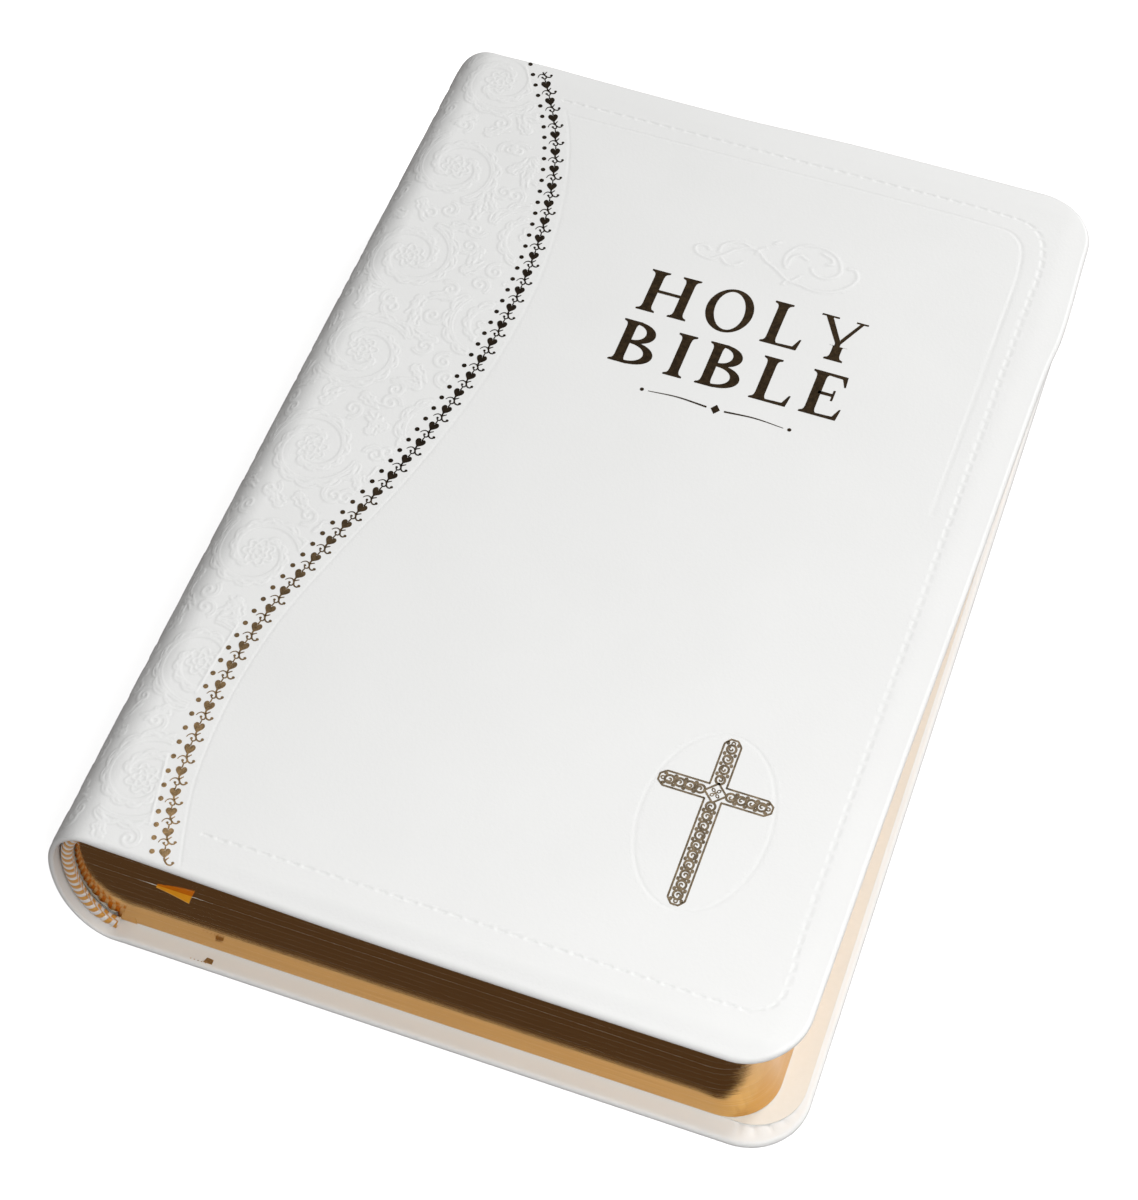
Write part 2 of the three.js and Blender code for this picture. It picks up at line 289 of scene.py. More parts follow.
def add_piece(name, points, blocks, materials, attributes=None, paints=None):
    """A closed solid from points in book millimetres and blocks of faces, each block an array
    with one row per face. `paints` gives each block's material, 0 if left out."""
    points = to_frame(points)
    blocks = [np.atleast_2d(np.asarray(block, np.int32)) for block in blocks]
    if enclosed_volume(points, blocks) < 0:
        blocks = [block[:, ::-1] for block in blocks]
    sizes = np.concatenate([np.full(len(block), block.shape[1]) for block in blocks])
    corners = np.concatenate([block.ravel() for block in blocks])
    paints = paints or [0] * len(blocks)
    painted = np.concatenate([np.full(len(b), paint) for b, paint in zip(blocks, paints)])
    mesh = bpy.data.meshes.new(name)
    mesh.vertices.add(len(points))
    mesh.vertices.foreach_set("co", points.astype(np.float32).ravel())
    mesh.loops.add(len(corners))
    mesh.loops.foreach_set("vertex_index", corners.astype(np.int32))
    mesh.polygons.add(len(sizes))
    starts = np.concatenate(([0], np.cumsum(sizes)[:-1]))
    mesh.polygons.foreach_set("loop_start", starts.astype(np.int32))
    mesh.polygons.foreach_set("material_index", painted.astype(np.int32))
    mesh.update(calc_edges=True)
    mesh.shade_smooth()
    mesh.set_sharp_from_angle(angle=SHARP_ANGLE)
    for key, values in (attributes or {}).items():
        layer = mesh.attributes.new(key, "FLOAT", "POINT")
        layer.data.foreach_set("value", np.asarray(values, np.float32))
    piece = bpy.data.objects.new(name, mesh)
    bpy.context.scene.collection.objects.link(piece)
    for material in materials:
        mesh.materials.append(material)
    return piece


def bend(piece):
    """Bakes a piece's placement into its mesh."""
    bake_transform(piece)


def quads(rows):
    """Faces between neighbouring rows and columns of a 2-D array of point numbers."""
    corners = (rows[:-1, :-1], rows[1:, :-1], rows[1:, 1:], rows[:-1, 1:])
    return np.column_stack([corner.ravel() for corner in corners])


def tube(numbers):
    """Faces of a closed tube, one row of point numbers per ring, with a face on each end."""
    closed = np.column_stack((numbers, numbers[:, 0]))
    return [quads(closed), [numbers[0]], [numbers[-1][::-1]]]


def rim(rows):
    """The tail, fore and head edges of a grid of point numbers, in one line."""
    return np.concatenate((rows[:, 0], rows[-1, 1:-1], rows[::-1, -1]))


def full_rim(rows):
    return np.concatenate((rim(rows), rows[0, -2:0:-1]))


def sheet_points(level, spread, arc, rows, radius):
    """A grid over a sheet with round fore corners. `level` is (z, left, right, tail, head)."""
    z, left, right, tail, head = level
    straight = left + spread * (right - radius - left)
    x = np.concatenate((straight, right - radius + radius * np.sin(arc)))
    rise = np.concatenate((np.zeros(len(spread)), radius * (1 - np.cos(arc))))
    low = (tail + rise)[:, None]
    high = (head - rise)[:, None]
    y = low + rows[None, :] * (high - low)
    x = np.broadcast_to(x[:, None], y.shape)
    return np.stack((x, y, np.full(y.shape, z)), axis=-1)


def layered_sheet(levels, spread, rows, radius, arc_steps=12):
    """Points and faces of a sheet whose wall passes through every level, lowest first."""
    arc = np.linspace(0, quarter_turn, arc_steps + 1)[1:]
    shape = (len(spread) + arc_steps, len(rows))
    numbers = np.arange(shape[0] * shape[1]).reshape(shape)
    grids = [sheet_points(level, spread, arc, rows, radius).reshape(-1, 3) for level in levels]
    ring = full_rim(numbers)
    points = [grids[0], grids[-1]]
    rings = [ring]
    count = 2 * numbers.size
    for grid in grids[1:-1]:
        points.append(grid[ring])
        rings.append(count + np.arange(len(ring)))
        count += len(ring)
    rings.append(ring + numbers.size)
    closed = np.array([np.append(line, line[0]) for line in rings])
    faces = [quads(numbers)[:, ::-1], quads(numbers + numbers.size), quads(closed)]
    return np.vstack(points), faces


# ---------------------------------------------------------------- node materials


# Where a mix node keeps its two colours and the colour that it makes of them.
MIX_COLOURS = slice(6, 8)
MIX_RESULT = 2


class Painter:
    """A material's nodes, made one line at a time."""

    def __init__(self, name):
        self.material = bpy.data.materials.new(name)
        self.material.use_nodes = True
        self.tree = self.material.node_tree
        self.shader = self.tree.nodes["Principled BSDF"]
        self.place = self.node("ShaderNodeTexCoord").outputs["Object"]

    def node(self, kind, links=None, values=None, **settings):
        made = self.tree.nodes.new(kind)
        for key, value in settings.items():
            setattr(made, key, value)
        for key, value in (values or {}).items():
            made.inputs[key].default_value = value
        for key, source in (links or {}).items():
            self.tree.links.new(source, made.inputs[key])
        return made

    def feed(self, socket, value):
        """Links a socket to another node's output, or sets it to a plain value."""
        if isinstance(value, bpy.types.NodeSocket):
            self.tree.links.new(value, socket)
        else:
            socket.default_value = value

    def set(self, **sockets):
        for key, value in sockets.items():
            self.feed(self.shader.inputs[key.replace("_", " ")], value)

    def noise(self, scale, detail=3, stretch=(1, 1, 1)):
        place = self.node("ShaderNodeMapping", {"Vector": self.place}, {"Scale": stretch})
        values = {"Scale": scale, "Detail": detail}
        made = self.node("ShaderNodeTexNoise", {"Vector": place.outputs["Vector"]}, values)
        return made.outputs["Fac"]

    def cells(self, scale):
        links = {"Vector": self.place}
        made = self.node("ShaderNodeTexVoronoi", links, {"Scale": scale}, feature="SMOOTH_F1")
        return made.outputs["Distance"]

    def lines(self, scale, direction, distortion=0.0):
        links = {"Vector": self.place}
        values = {"Scale": scale, "Distortion": distortion}
        made = self.node("ShaderNodeTexWave", links, values, bands_direction=direction)
        return made.outputs["Fac"]

    def attribute(self, name):
        return self.node("ShaderNodeAttribute", attribute_name=name).outputs["Fac"]

    def maths(self, operation, *values):
        made = self.node("ShaderNodeMath", operation=operation)
        for socket, value in zip(made.inputs, values):
            self.feed(socket, value)
        return made.outputs["Value"]

    def ramp(self, source, low, high, from_low=0.0, from_high=1.0):
        values = {"From Min": from_low, "From Max": from_high, "To Min": low, "To Max": high}
        return self.node("ShaderNodeMapRange", {"Value": source}, values).outputs["Result"]

    def mix(self, share, first, second):
        """A colour between two colours, each either a value or another colour's socket."""
        made = self.node("ShaderNodeMix", {"Factor": share}, data_type="RGBA")
        for socket, colour in zip(made.inputs[MIX_COLOURS], (first, second)):
            self.feed(socket, (*colour, 1) if isinstance(colour, tuple) else colour)
        return made.outputs[MIX_RESULT]

    def bump(self, height, distance, strength=1.0):
        values = {"Distance": distance * MM, "Strength": strength}
        self.set(Normal=self.node("ShaderNodeBump", {"Height": height}, values).outputs["Normal"])

    def up(self, axis):
        return self.node("ShaderNodeSeparateXYZ", {"Vector": self.place}).outputs[axis]


def leather():
    paint = Painter("white_leather")
    cloudy = paint.noise(45)
    # Painted shade: the shade attribute darkens the leather towards grey round raised strokes and in pressed
    # grooves.
    shade = paint.attribute("shade")
    clean = paint.mix(cloudy, (0.79, 0.79, 0.78), (0.83, 0.83, 0.82))
    paint.set(Base_Color=paint.mix(paint.ramp(shade, 0, 0.5), clean, (0.64, 0.64, 0.63)))
    paint.set(Roughness=paint.ramp(paint.noise(220), 0.40, 0.54))
    pebbles = paint.cells(1500)
    fine = paint.noise(2600, 2)
    paint.bump(paint.maths("ADD", pebbles, fine), 0.03, 0.42)
    return paint.material


def foil(name, tail_tone_with_reflection, head_tone_with_reflection, start, end):
    """Stamped foil with a painted reflection: one tone below height `start` of the page and another above
    `end`.
    """
    paint = Painter(name)
    specks = paint.ramp(paint.noise(5200, 2), 0, 1, 0.42, 0.60)
    patches = paint.ramp(paint.noise(900, 3), 0, 1, 0.40, 0.62)
    ends = [(y + LOW_CORNER[1]) * MM for y in (start, end)]
    # Painted reflection: the colour goes from the tail tone to the head tone with the height on the page.
    along = paint.ramp(paint.up("Y"), 0, 1, *ends)
    dark = paint.mix(along, tuple(0.42 * c for c in tail_tone_with_reflection), tuple(0.6 * c for c in head_tone_with_reflection))
    light = paint.mix(along, tail_tone_with_reflection, tuple(1.9 * c for c in head_tone_with_reflection))
    share = paint.maths("MULTIPLY_ADD", specks, 0.45, paint.maths("MULTIPLY", patches, 0.45))
    paint.set(Base_Color=paint.mix(share, dark, light))
    paint.set(Metallic=0.85, Roughness=paint.ramp(paint.noise(900), 0.32, 0.5))
    paint.bump(paint.noise(3000), 0.02, 0.5)
    return paint.material


def gilt():
    paint = Painter("gilt_edges")
    streaks = paint.noise(60, 4, (1, 1, 60))
    leaves = paint.noise(20, 2, (1, 1, 260))
    both = paint.maths("MULTIPLY", streaks, leaves)
    tone = paint.mix(paint.ramp(both, 0, 1, 0.15, 0.4), (0.66, 0.35, 0.075), (0.76, 0.43, 0.115))
    paint.set(Base_Color=tone, Metallic=1.0, Roughness=paint.ramp(streaks, 0.05, 0.10))
    paint.bump(leaves, 0.002, 0.2)
    return paint.material


def paper(name, colour, spotted):
    paint = Painter(name)
    fibres = paint.noise(900, 5)
    paint.set(Base_Color=paint.mix(fibres, spotted, colour))
    paint.set(Roughness=paint.ramp(paint.noise(300), 0.75, 0.9))
    paint.bump(fibres, 0.03, 0.5)
    return paint.material


def woven(name, colour, shade, threads):
    paint = Painter(name)
    across = paint.lines(threads, "Y")
    along = paint.lines(threads, "Z")
    weave = paint.maths("MULTIPLY", across, along)
    paint.set(Base_Color=paint.mix(weave, shade, colour))
    paint.set(Roughness=paint.ramp(paint.noise(500), 0.8, 0.95))
    paint.bump(weave, 0.15, 0.8)
    return paint.material


def silk():
    paint = Painter("headband_threads")
    phase = paint.maths("FRACT", paint.attribute("winding"))
    gold = paint.maths("GREATER_THAN", phase, 0.46)
    strands = paint.maths("SINE", paint.maths("MULTIPLY", paint.attribute("winding"), 38.0))
    gold_tone = paint.mix(paint.noise(700), (0.56, 0.24, 0.025), (0.70, 0.35, 0.06))
    white_tone = paint.mix(paint.noise(700), (0.66, 0.62, 0.60), (0.83, 0.81, 0.80))
    paint.set(Base_Color=paint.mix(gold, white_tone, gold_tone))
    paint.set(Roughness=paint.ramp(strands, 0.4, 0.6, -1.0, 1.0))
    paint.set(Sheen_Weight=0.3)
    paint.bump(strands, 0.04, 0.6)
    return paint.material


def satin():
    paint = Painter("satin_ribbon")
    ribs = paint.lines(1400, "X", 0.4)
    tone = paint.mix(paint.noise(300), (0.60, 0.24, 0.003), (0.80, 0.38, 0.008))
    paint.set(Base_Color=tone)
    paint.set(Roughness=paint.ramp(ribs, 0.30, 0.45))
    paint.set(Sheen_Weight=0.25)
    paint.bump(ribs, 0.02, 0.6)
    return paint.material


LEATHER = leather()
# The border and cross foils carry a painted reflection: light towards the tail and dark towards the head.
BORDER_FOIL = foil("border_foil", (0.72, 0.47, 0.23), (0.022, 0.014, 0.007), 5, 95)
TITLE_FOIL = foil("title_foil", (0.045, 0.027, 0.011), (0.045, 0.027, 0.011), 100, 200)
CROSS_FOIL = foil("cross_foil", (0.42, 0.32, 0.20), (0.20, 0.15, 0.10), 10, 90)
GILT = gilt()
PAGE_PAPER = paper("page_paper", (0.86, 0.84, 0.79), (0.80, 0.77, 0.71))
ENDPAPER = paper("cream_endpaper", (0.79, 0.75, 0.69), (0.75, 0.71, 0.64))
CARD = paper("flexible_card", (0.50, 0.42, 0.31), (0.38, 0.31, 0.22))
KRAFT = paper("kraft_liner", (0.44, 0.30, 0.15), (0.32, 0.21, 0.10))
MULL = woven("mull_weave", (0.80, 0.76, 0.66), (0.42, 0.38, 0.30), 700)
TAPE = woven("cotton_tape_weave", (0.84, 0.80, 0.71), (0.60, 0.56, 0.47), 1100)
THREAD = woven("linen_thread_twist", (0.85, 0.83, 0.76), (0.60, 0.57, 0.50), 1500)
SILK = silk()
SATIN = satin()

# ---------------------------------------------------------------- lines stamped on the covers

# The foil border's middle line, head to tail. It runs on a little past both edges.
BORDER_STEP = 0.25
border_turns = (
    (17.5, 214.5), (21.5, 208.3), (31, 190.4), (36.4, 171.6), (38.8, 151.6), (38.4, 131.9), (35.9, 112.5),
    (31.7, 93.4), (26.3, 74.8), (21.6, 56.5), (19.6, 37.8), (20.4, 19.3), (23.5, 6.3), (26.5, -3),
)
BORDER_LINE = even_spacing(catmull_rom(border_turns, steps=24), BORDER_STEP)
border_direction = unit(np.gradient(BORDER_LINE, axis=0))
BORDER_ANGLE = np.unwrap(np.arctan2(border_direction[:, 1], border_direction[:, 0]))
BORDER_ALONG = BORDER_STEP * np.arange(len(BORDER_LINE))
FIRST_HEART = 8.1
HEART_PITCH = 5.02
PITCH_LOSS = 0.0045
# The last motifs stand closer together: the motif's number, and how far it is moved along.
TAIL_TRIM = ((36, 0), (40, 0.5), (41, 0.3), (42, -0.3), (43, -0.78), (44, -1.25), (48, -3.0))
# The dots' pitch and start, counted in motifs.
DOT_PITCH = 0.642
DOT_START = -0.354
DOT_OFFSET = 2.3
DOT_RADIUS = 0.5
BLIND_OFFSET = 3.0


def on_border(shape, along, offset=0.0):
    """A flat shape set on the border. Its x runs towards the tail, its y to the fore edge."""
    centre = [np.interp(along, BORDER_ALONG, axis) for axis in BORDER_LINE.T]
    angle = np.interp(along, BORDER_ALONG, BORDER_ANGLE)
    return turned(np.asarray(shape) + (0, offset), angle, centre)


def along_border(offset):
    normal = np.column_stack((-border_direction[:, 1], border_direction[:, 0]))
    return BORDER_LINE + offset * normal


def round_shape(radius, stretch=1.0, steps=20):
    angle = np.linspace(0, 2 * math.pi, steps, endpoint=False)
    return np.column_stack((radius * np.cos(angle), radius * stretch * np.sin(angle)))


def scroll(radius, turns, start, hand=1, eye=0.3, steps=44):
    """A line that winds in from `radius` to its eye."""
    share = np.linspace(0, 1, steps)
    reach = eye + (radius - eye) * (1 - share) ** 1.3
    angle = start + hand * turns * 2 * math.pi * share
    return np.column_stack((reach * np.cos(angle), reach * np.sin(angle)))


def lobed_leaf(length, width, curl):
    """Vein and both lobed edges of a leaf that grows along x."""
    share = np.linspace(0, 1, 26)
    vein = np.column_stack((length * share, curl * length * share**2))
    lobes = width * np.sin(math.pi * share**0.75) * (1 + 0.28 * np.sin(7 * math.pi * share))
    aside = np.column_stack((np.zeros(len(share)), lobes))
    return [vein, vein + aside, vein - aside]


def rose(radius, petals, depth, phase=0.0):
    angle = np.linspace(0, 2 * math.pi, 90)
    reach = radius * (1 - depth * np.abs(np.sin(petals * angle / 2 + phase)) ** 3)
    return np.column_stack((reach * np.cos(angle), reach * np.sin(angle)))


def polar(reach, angle):
    return np.column_stack((reach * np.cos(angle), reach * np.sin(angle)))


def acanthus(radius, turns, start, lobes):
    """A leafy scroll: two stems side by side, a lobed outline and a vein in every lobe."""
    share = np.linspace(0, 1, 30 * lobes)
    reach = radius * (1 - 0.66 * share)
    angle = start + 2 * math.pi * turns * share
    swell = 1 - 0.5 * share
    lobed = reach + swell * (0.5 + 1.3 * np.abs(np.sin(math.pi * lobes * share)) ** 0.6)
    strokes = [polar(reach, angle), polar(reach - 0.55 * swell, angle), polar(lobed, angle)]
    strokes.append(polar((reach + lobed) / 2, angle + 0.03))
    for i in range(lobes):
        first = 30 * i + 4
        last = first + 17
        spread = np.linspace(0, 1, 17)
        vein = reach[first:last] + spread * (lobed[first:last] - reach[first:last])
        strokes.append(polar(vein, angle[first:last]))
        strokes.append(polar(vein - 0.45 * spread * swell[first:last], angle[first:last] + 0.04))
    return strokes


def roundel():
    """One damask roundel: a rose inside two leafy scrolls, with tufts of leaves round them."""
    strokes = [rose(0.9, 5, 0.3), rose(1.9, 5, 0.35, 0.8), rose(3.1, 7, 0.3)]
    for i in range(2):
        strokes += acanthus(9.6, 0.82, math.pi * i, 10)
    for i in range(6):
        angle = 2 * math.pi * i / 6 + 0.3
        start = (10.9 * math.cos(angle), 10.9 * math.sin(angle))
        mirror = 1 if i % 2 else -1
        for line in lobed_leaf(4.6, 1.25, 0.5) + lobed_leaf(3.9, 0.6, 0.9):
            strokes.append(turned(line, angle, start, mirror=mirror))
    for i in range(6):
        angle = 2 * math.pi * i / 6 + 0.8
        start = (12.4 * math.cos(angle), 12.4 * math.sin(angle))
        for size in (2.5, 1.9):
            strokes.append(turned(scroll(size, 1.4, 3.4), angle, start, mirror=(-1) ** i))
    return strokes


ROUNDEL_PITCH = 26.5
ROUNDELS_IN_COLUMN = 9
ROUNDEL_TURN = 0.7
# Each column's x and the y of its first roundel.
ROUNDEL_COLUMNS = ((-8.0, 2.0), (14.5, 15.2), (37.0, 2.0))
DAMASK_OFFSET = -3.4


def damask():
    """Roundels in staggered columns, kept to the spine side of the border."""
    pattern = roundel()
    strokes = []
    for column, (x, first) in enumerate(ROUNDEL_COLUMNS):
        for i in range(ROUNDELS_IN_COLUMN):
            centre = (x, first + ROUNDEL_PITCH * i)
            hand = 1 if (i + column) % 2 else -1
            tilt = ROUNDEL_TURN * i + column
            for line in pattern:
                strokes.append(turned(line, tilt, centre, mirror=hand))
    kept = []
    edge = along_border(DAMASK_OFFSET)[::-1]
    for line in strokes:
        fine = even_spacing(line, RASTER * 0.8)
        inside = fine[:, 0] < np.interp(fine[:, 1], edge[:, 1], edge[:, 0])
        kept.append(fine[inside])
    return kept


DASH_STEP = 0.1


def dashes(line, pitch, length):
    """A stitched line: pieces of `line`, each `length` long and `pitch` from the next."""
    fine = even_spacing(line, DASH_STEP)
    step = int(round(pitch / DASH_STEP))
    size = int(round(length / DASH_STEP))
    return [fine[i : i + size] for i in range(0, len(fine) - size, step)]


STITCH_PITCH = 2.75
STITCH_LENGTH = 1.55
STITCH_LINE = catmull_rom(
    (
        (29.5, 200.2), (60, 200.4), (100, 200.4), (124, 200.3), (134.5, 198.6), (138.3, 190), (138.0, 170),
        (137.0, 100), (136.0, 30), (136.4, 18), (135.8, 11.8), (132.6, 8.9), (126, 8.2), (70, 8.4), (27, 8.4),
    ),
    steps=24,
)
# The plain line inside the stitching, from the head round to where it fades out.
INNER_LINE = catmull_rom(
    (
        (32, 196.6), (60, 196.7), (100, 196.7), (124, 196.5),
        (131.5, 195), (134.3, 187), (134.2, 165), (133.6, 120),
    ),
    steps=24,
)
# The plain line beside the border stops here, below the head's stitching.
BLIND_HEAD = 197.5
# Strokes of the scroll ornament above the title.
ORNAMENT = (
    (
        (72.2, 170.3), (71.5, 171.0), (70.1, 170.9), (69.3, 169.8), (70.3, 168.4), (72.5, 167.9),
        (73.9, 168.3), (75.9, 170.2), (77.5, 172.0), (79.4, 173.1), (81.6, 173.3), (83.2, 172.2),
        (83.9, 171.4),
    ),
    (
        (74.3, 170.5), (74.6, 172.3), (76.3, 173.8), (78.4, 174.3), (80.5, 173.6), (82.3, 172.9),
        (84.4, 171.1), (86.7, 169.8), (89.2, 168.0), (90.6, 167.3),
    ),
    ((75.2, 168.9), (76.7, 167.7), (78.5, 167.9), (79.9, 169.3)),
    ((81.8, 172.3), (82.3, 173.8), (83.4, 174.6)),
    (
        (88.6, 170.8), (88.0, 172.0), (87.9, 174.1), (89.1, 176.6), (91.5, 178.1), (94.6, 178.4),
        (97.7, 177.2), (99.4, 174.8), (99.6, 172.8), (98.3, 171.1), (96.2, 170.5), (94.5, 171.2),
        (93.7, 172.3),
    ),
    ((88.8, 171.4), (89.0, 173.6), (90.5, 175.0), (92.3, 174.2)),
    ((94.9, 177.0), (97.1, 176.1), (97.5, 174.8), (96.5, 174.4)),
    (
        (89.3, 166.4), (90.0, 167.3), (92.5, 167.3), (95.5, 166.7), (98.2, 167.1), (100.9, 168.5),
        (102.8, 170.6), (103.5, 172.9), (102.5, 174.7), (101.0, 174.7),
    ),
    ((90.6, 167.3), (92.2, 169.5)),
    ((84.6, 176.3), (85.5, 177.0)),
)
CROSS_MIDDLE = (113.0, 47.1)
OVAL_MIDDLE = (113.0, 41.0)
OVAL_SIZE = (11.9, 18.7)


def distance_map(strokes, reach):
    """How far each cell of the unrolled cover is from the nearest stroke, up to `reach`."""
    columns = int((WIDTH - UNROLLED_START) / RASTER) + 2
    rows = int(LENGTH / RASTER) + 2
    result = np.full((columns, rows), reach)
    samples = np.vstack([even_spacing(unslipped(s), RASTER * 0.8) for s in strokes if len(s) > 1])
    cell = np.round((samples - (UNROLLED_START, 0)) / RASTER).astype(int)
    radius = int(math.ceil(reach / RASTER))
    for dx in range(-radius, radius + 1):
        for dy in range(-radius, radius + 1):
            spot = cell + (dx, dy)
            inside = (spot >= 0).all(1) & (spot[:, 0] < columns) & (spot[:, 1] < rows)
            spot = spot[inside]
            away = np.linalg.norm(spot * RASTER + (UNROLLED_START, 0) - samples[inside], axis=1)
            np.minimum.at(result, (spot[:, 0], spot[:, 1]), away)
    return result


RAISED_REACH = 0.8
PRESSED_REACH = 0.7
# Painted shade in the pressed grooves, per millimetre of their depth.
PRESSED_SHADE = 1.5


def bell(away, middle, half_width):
    """1 at the distance `middle` from a stroke, falling off to 0 over its half width."""
    return np.exp(-(((away - middle) / half_width) ** 2))


def cover_relief(side):
    """Height of the stamped relief over the unrolled cover, and how deep the painted shade is round raised
    strokes and in pressed grooves.
    """
    blind = along_border(BLIND_OFFSET)
    # Raised strokes: height and half width, then depth, distance and half width of the painted shade round
    # them.
    raised = [(damask(), (0.115, 0.16), (0.55, 0.34, 0.14))]
    # Pressed strokes: depth and half width. Their grooves are also darkened with painted shade.
    pressed = [
        ([blind[blind[:, 1] < BLIND_HEAD]], 0.06, 0.2),
        (dashes(STITCH_LINE, STITCH_PITCH, STITCH_LENGTH), 0.16, 0.24),
        ([INNER_LINE], 0.09, 0.22),
    ]
    if side == "front":
        oval = round_shape(1, steps=160) * OVAL_SIZE + OVAL_MIDDLE
        pressed.append(([np.vstack((oval, oval[:1]))], 0.07, 0.24))
        ornament = [catmull_rom(points, 12) for points in ORNAMENT]
        raised.append((ornament, (0.13, 0.24), (0.4, 0.45, 0.17)))
    relief = shade = grooves = 0
    for strokes, (height, half_width), (depth, middle, shade_width) in raised:
        away = distance_map(strokes, RAISED_REACH)
        relief = relief + height * bell(away, 0, half_width)
        shade = shade + depth * bell(away, middle, shade_width)
    for strokes, depth, half_width in pressed:
        grooves = grooves + depth * bell(distance_map(strokes, PRESSED_REACH), 0, half_width)
    return relief - grooves, shade + PRESSED_SHADE * grooves


def sample(raster, along, y):
    """Bilinear reading of a raster of the unrolled cover."""
    column = np.clip((along - UNROLLED_START) / RASTER, 0, raster.shape[0] - 1.001)
    row = np.clip(y / RASTER, 0, raster.shape[1] - 1.001)
    i = column.astype(int)
    j = row.astype(int)
    a = column - i
    b = row - j
    near = raster[i, j] * (1 - b) + raster[i, j + 1] * b
    far = raster[i + 1, j] * (1 - b) + raster[i + 1, j + 1] * b
    return near * (1 - a) + far * a


# ---------------------------------------------------------------- cover skins

COARSE = 4
EDGE_STEPS = 10
CORNER_STEPS = 40
DAMASK_FORE = 37
SPINE_THIN_END = SPINE_DEPTH - 4
# The relief fades out over this distance from the free edges.
RELIEF_FADE = (0.9, 2.2)
PLEAT_DEPTH = 0.28
PLEAT_START = 1.6
# Distances in from the edge at which the turned-in skin has a row of points.
TURN_IN_ROWS = (0.6, 1.3, 2.2, 3.2, 4.4, 5.8, 7.4, 8.8, TURN_IN - 0.15)
# How far the pocket reaches past the rim on a cover, and how far it stays inside it on the spine.
COVER_POCKET = 0.25
SPINE_POCKET = TURN_IN - 0.4
# Spacing of the points where the damask is, and on the rest of the cover.
SKIN_STEPS = {"front": (0.20, 0.31), "back": (0.30, 0.44)}


def multiple(count):
    return COARSE * max(int(round(count / COARSE)), 1)


def skin_grid(along, arc, inset, rows):
    """Places of a grid on the unrolled cover, pulled in by `inset` from its free edges. The
    last columns turn the round corners."""
    straight = len(along) - len(arc)
    radius = COVER_CORNER - inset[straight:]
    x = along.copy()
    x[straight:] = WIDTH - COVER_CORNER + radius * np.sin(arc)
    low = inset.copy()
    low[straight:] = COVER_CORNER - radius * np.cos(arc)
    low = low[:, None]
    y = low + rows[None, :] * (LENGTH - 2 * low)
    return np.broadcast_to(x[:, None], y.shape), y


def outward(arc, straight, row_count):
    """Direction out of the book at each point of the rim."""
    sin = np.concatenate((np.zeros(straight), np.sin(arc)))
    cos = np.concatenate((np.ones(straight), np.cos(arc)))
    tail = np.column_stack((sin, -cos))
    fore = np.tile((1.0, 0.0), (row_count - 2, 1))
    head = np.column_stack((sin, cos))[::-1]
    return np.vstack((tail, fore, head))


def pleats(along, y, inward):
    """Gathers of the turned-in skin at the round corners."""
    from_tail = np.minimum(y, LENGTH - y)
    angle = np.arctan2(COVER_CORNER - from_tail, along - (WIDTH - COVER_CORNER))
    inside = (along > WIDTH - COVER_CORNER) & (from_tail < COVER_CORNER)
    ridges = np.abs(np.sin(11 * angle + 0.5 * np.sin(3 * angle))) ** 0.5
    return np.where(inside, PLEAT_DEPTH * (ridges - 1) * smoothstep(inward, 0, PLEAT_START), 0)


def pocket_reach(share):
    """How far the card's pocket reaches past the rim, by the share of cover over spine."""
    return COVER_POCKET * share - SPINE_POCKET * (1 - share)


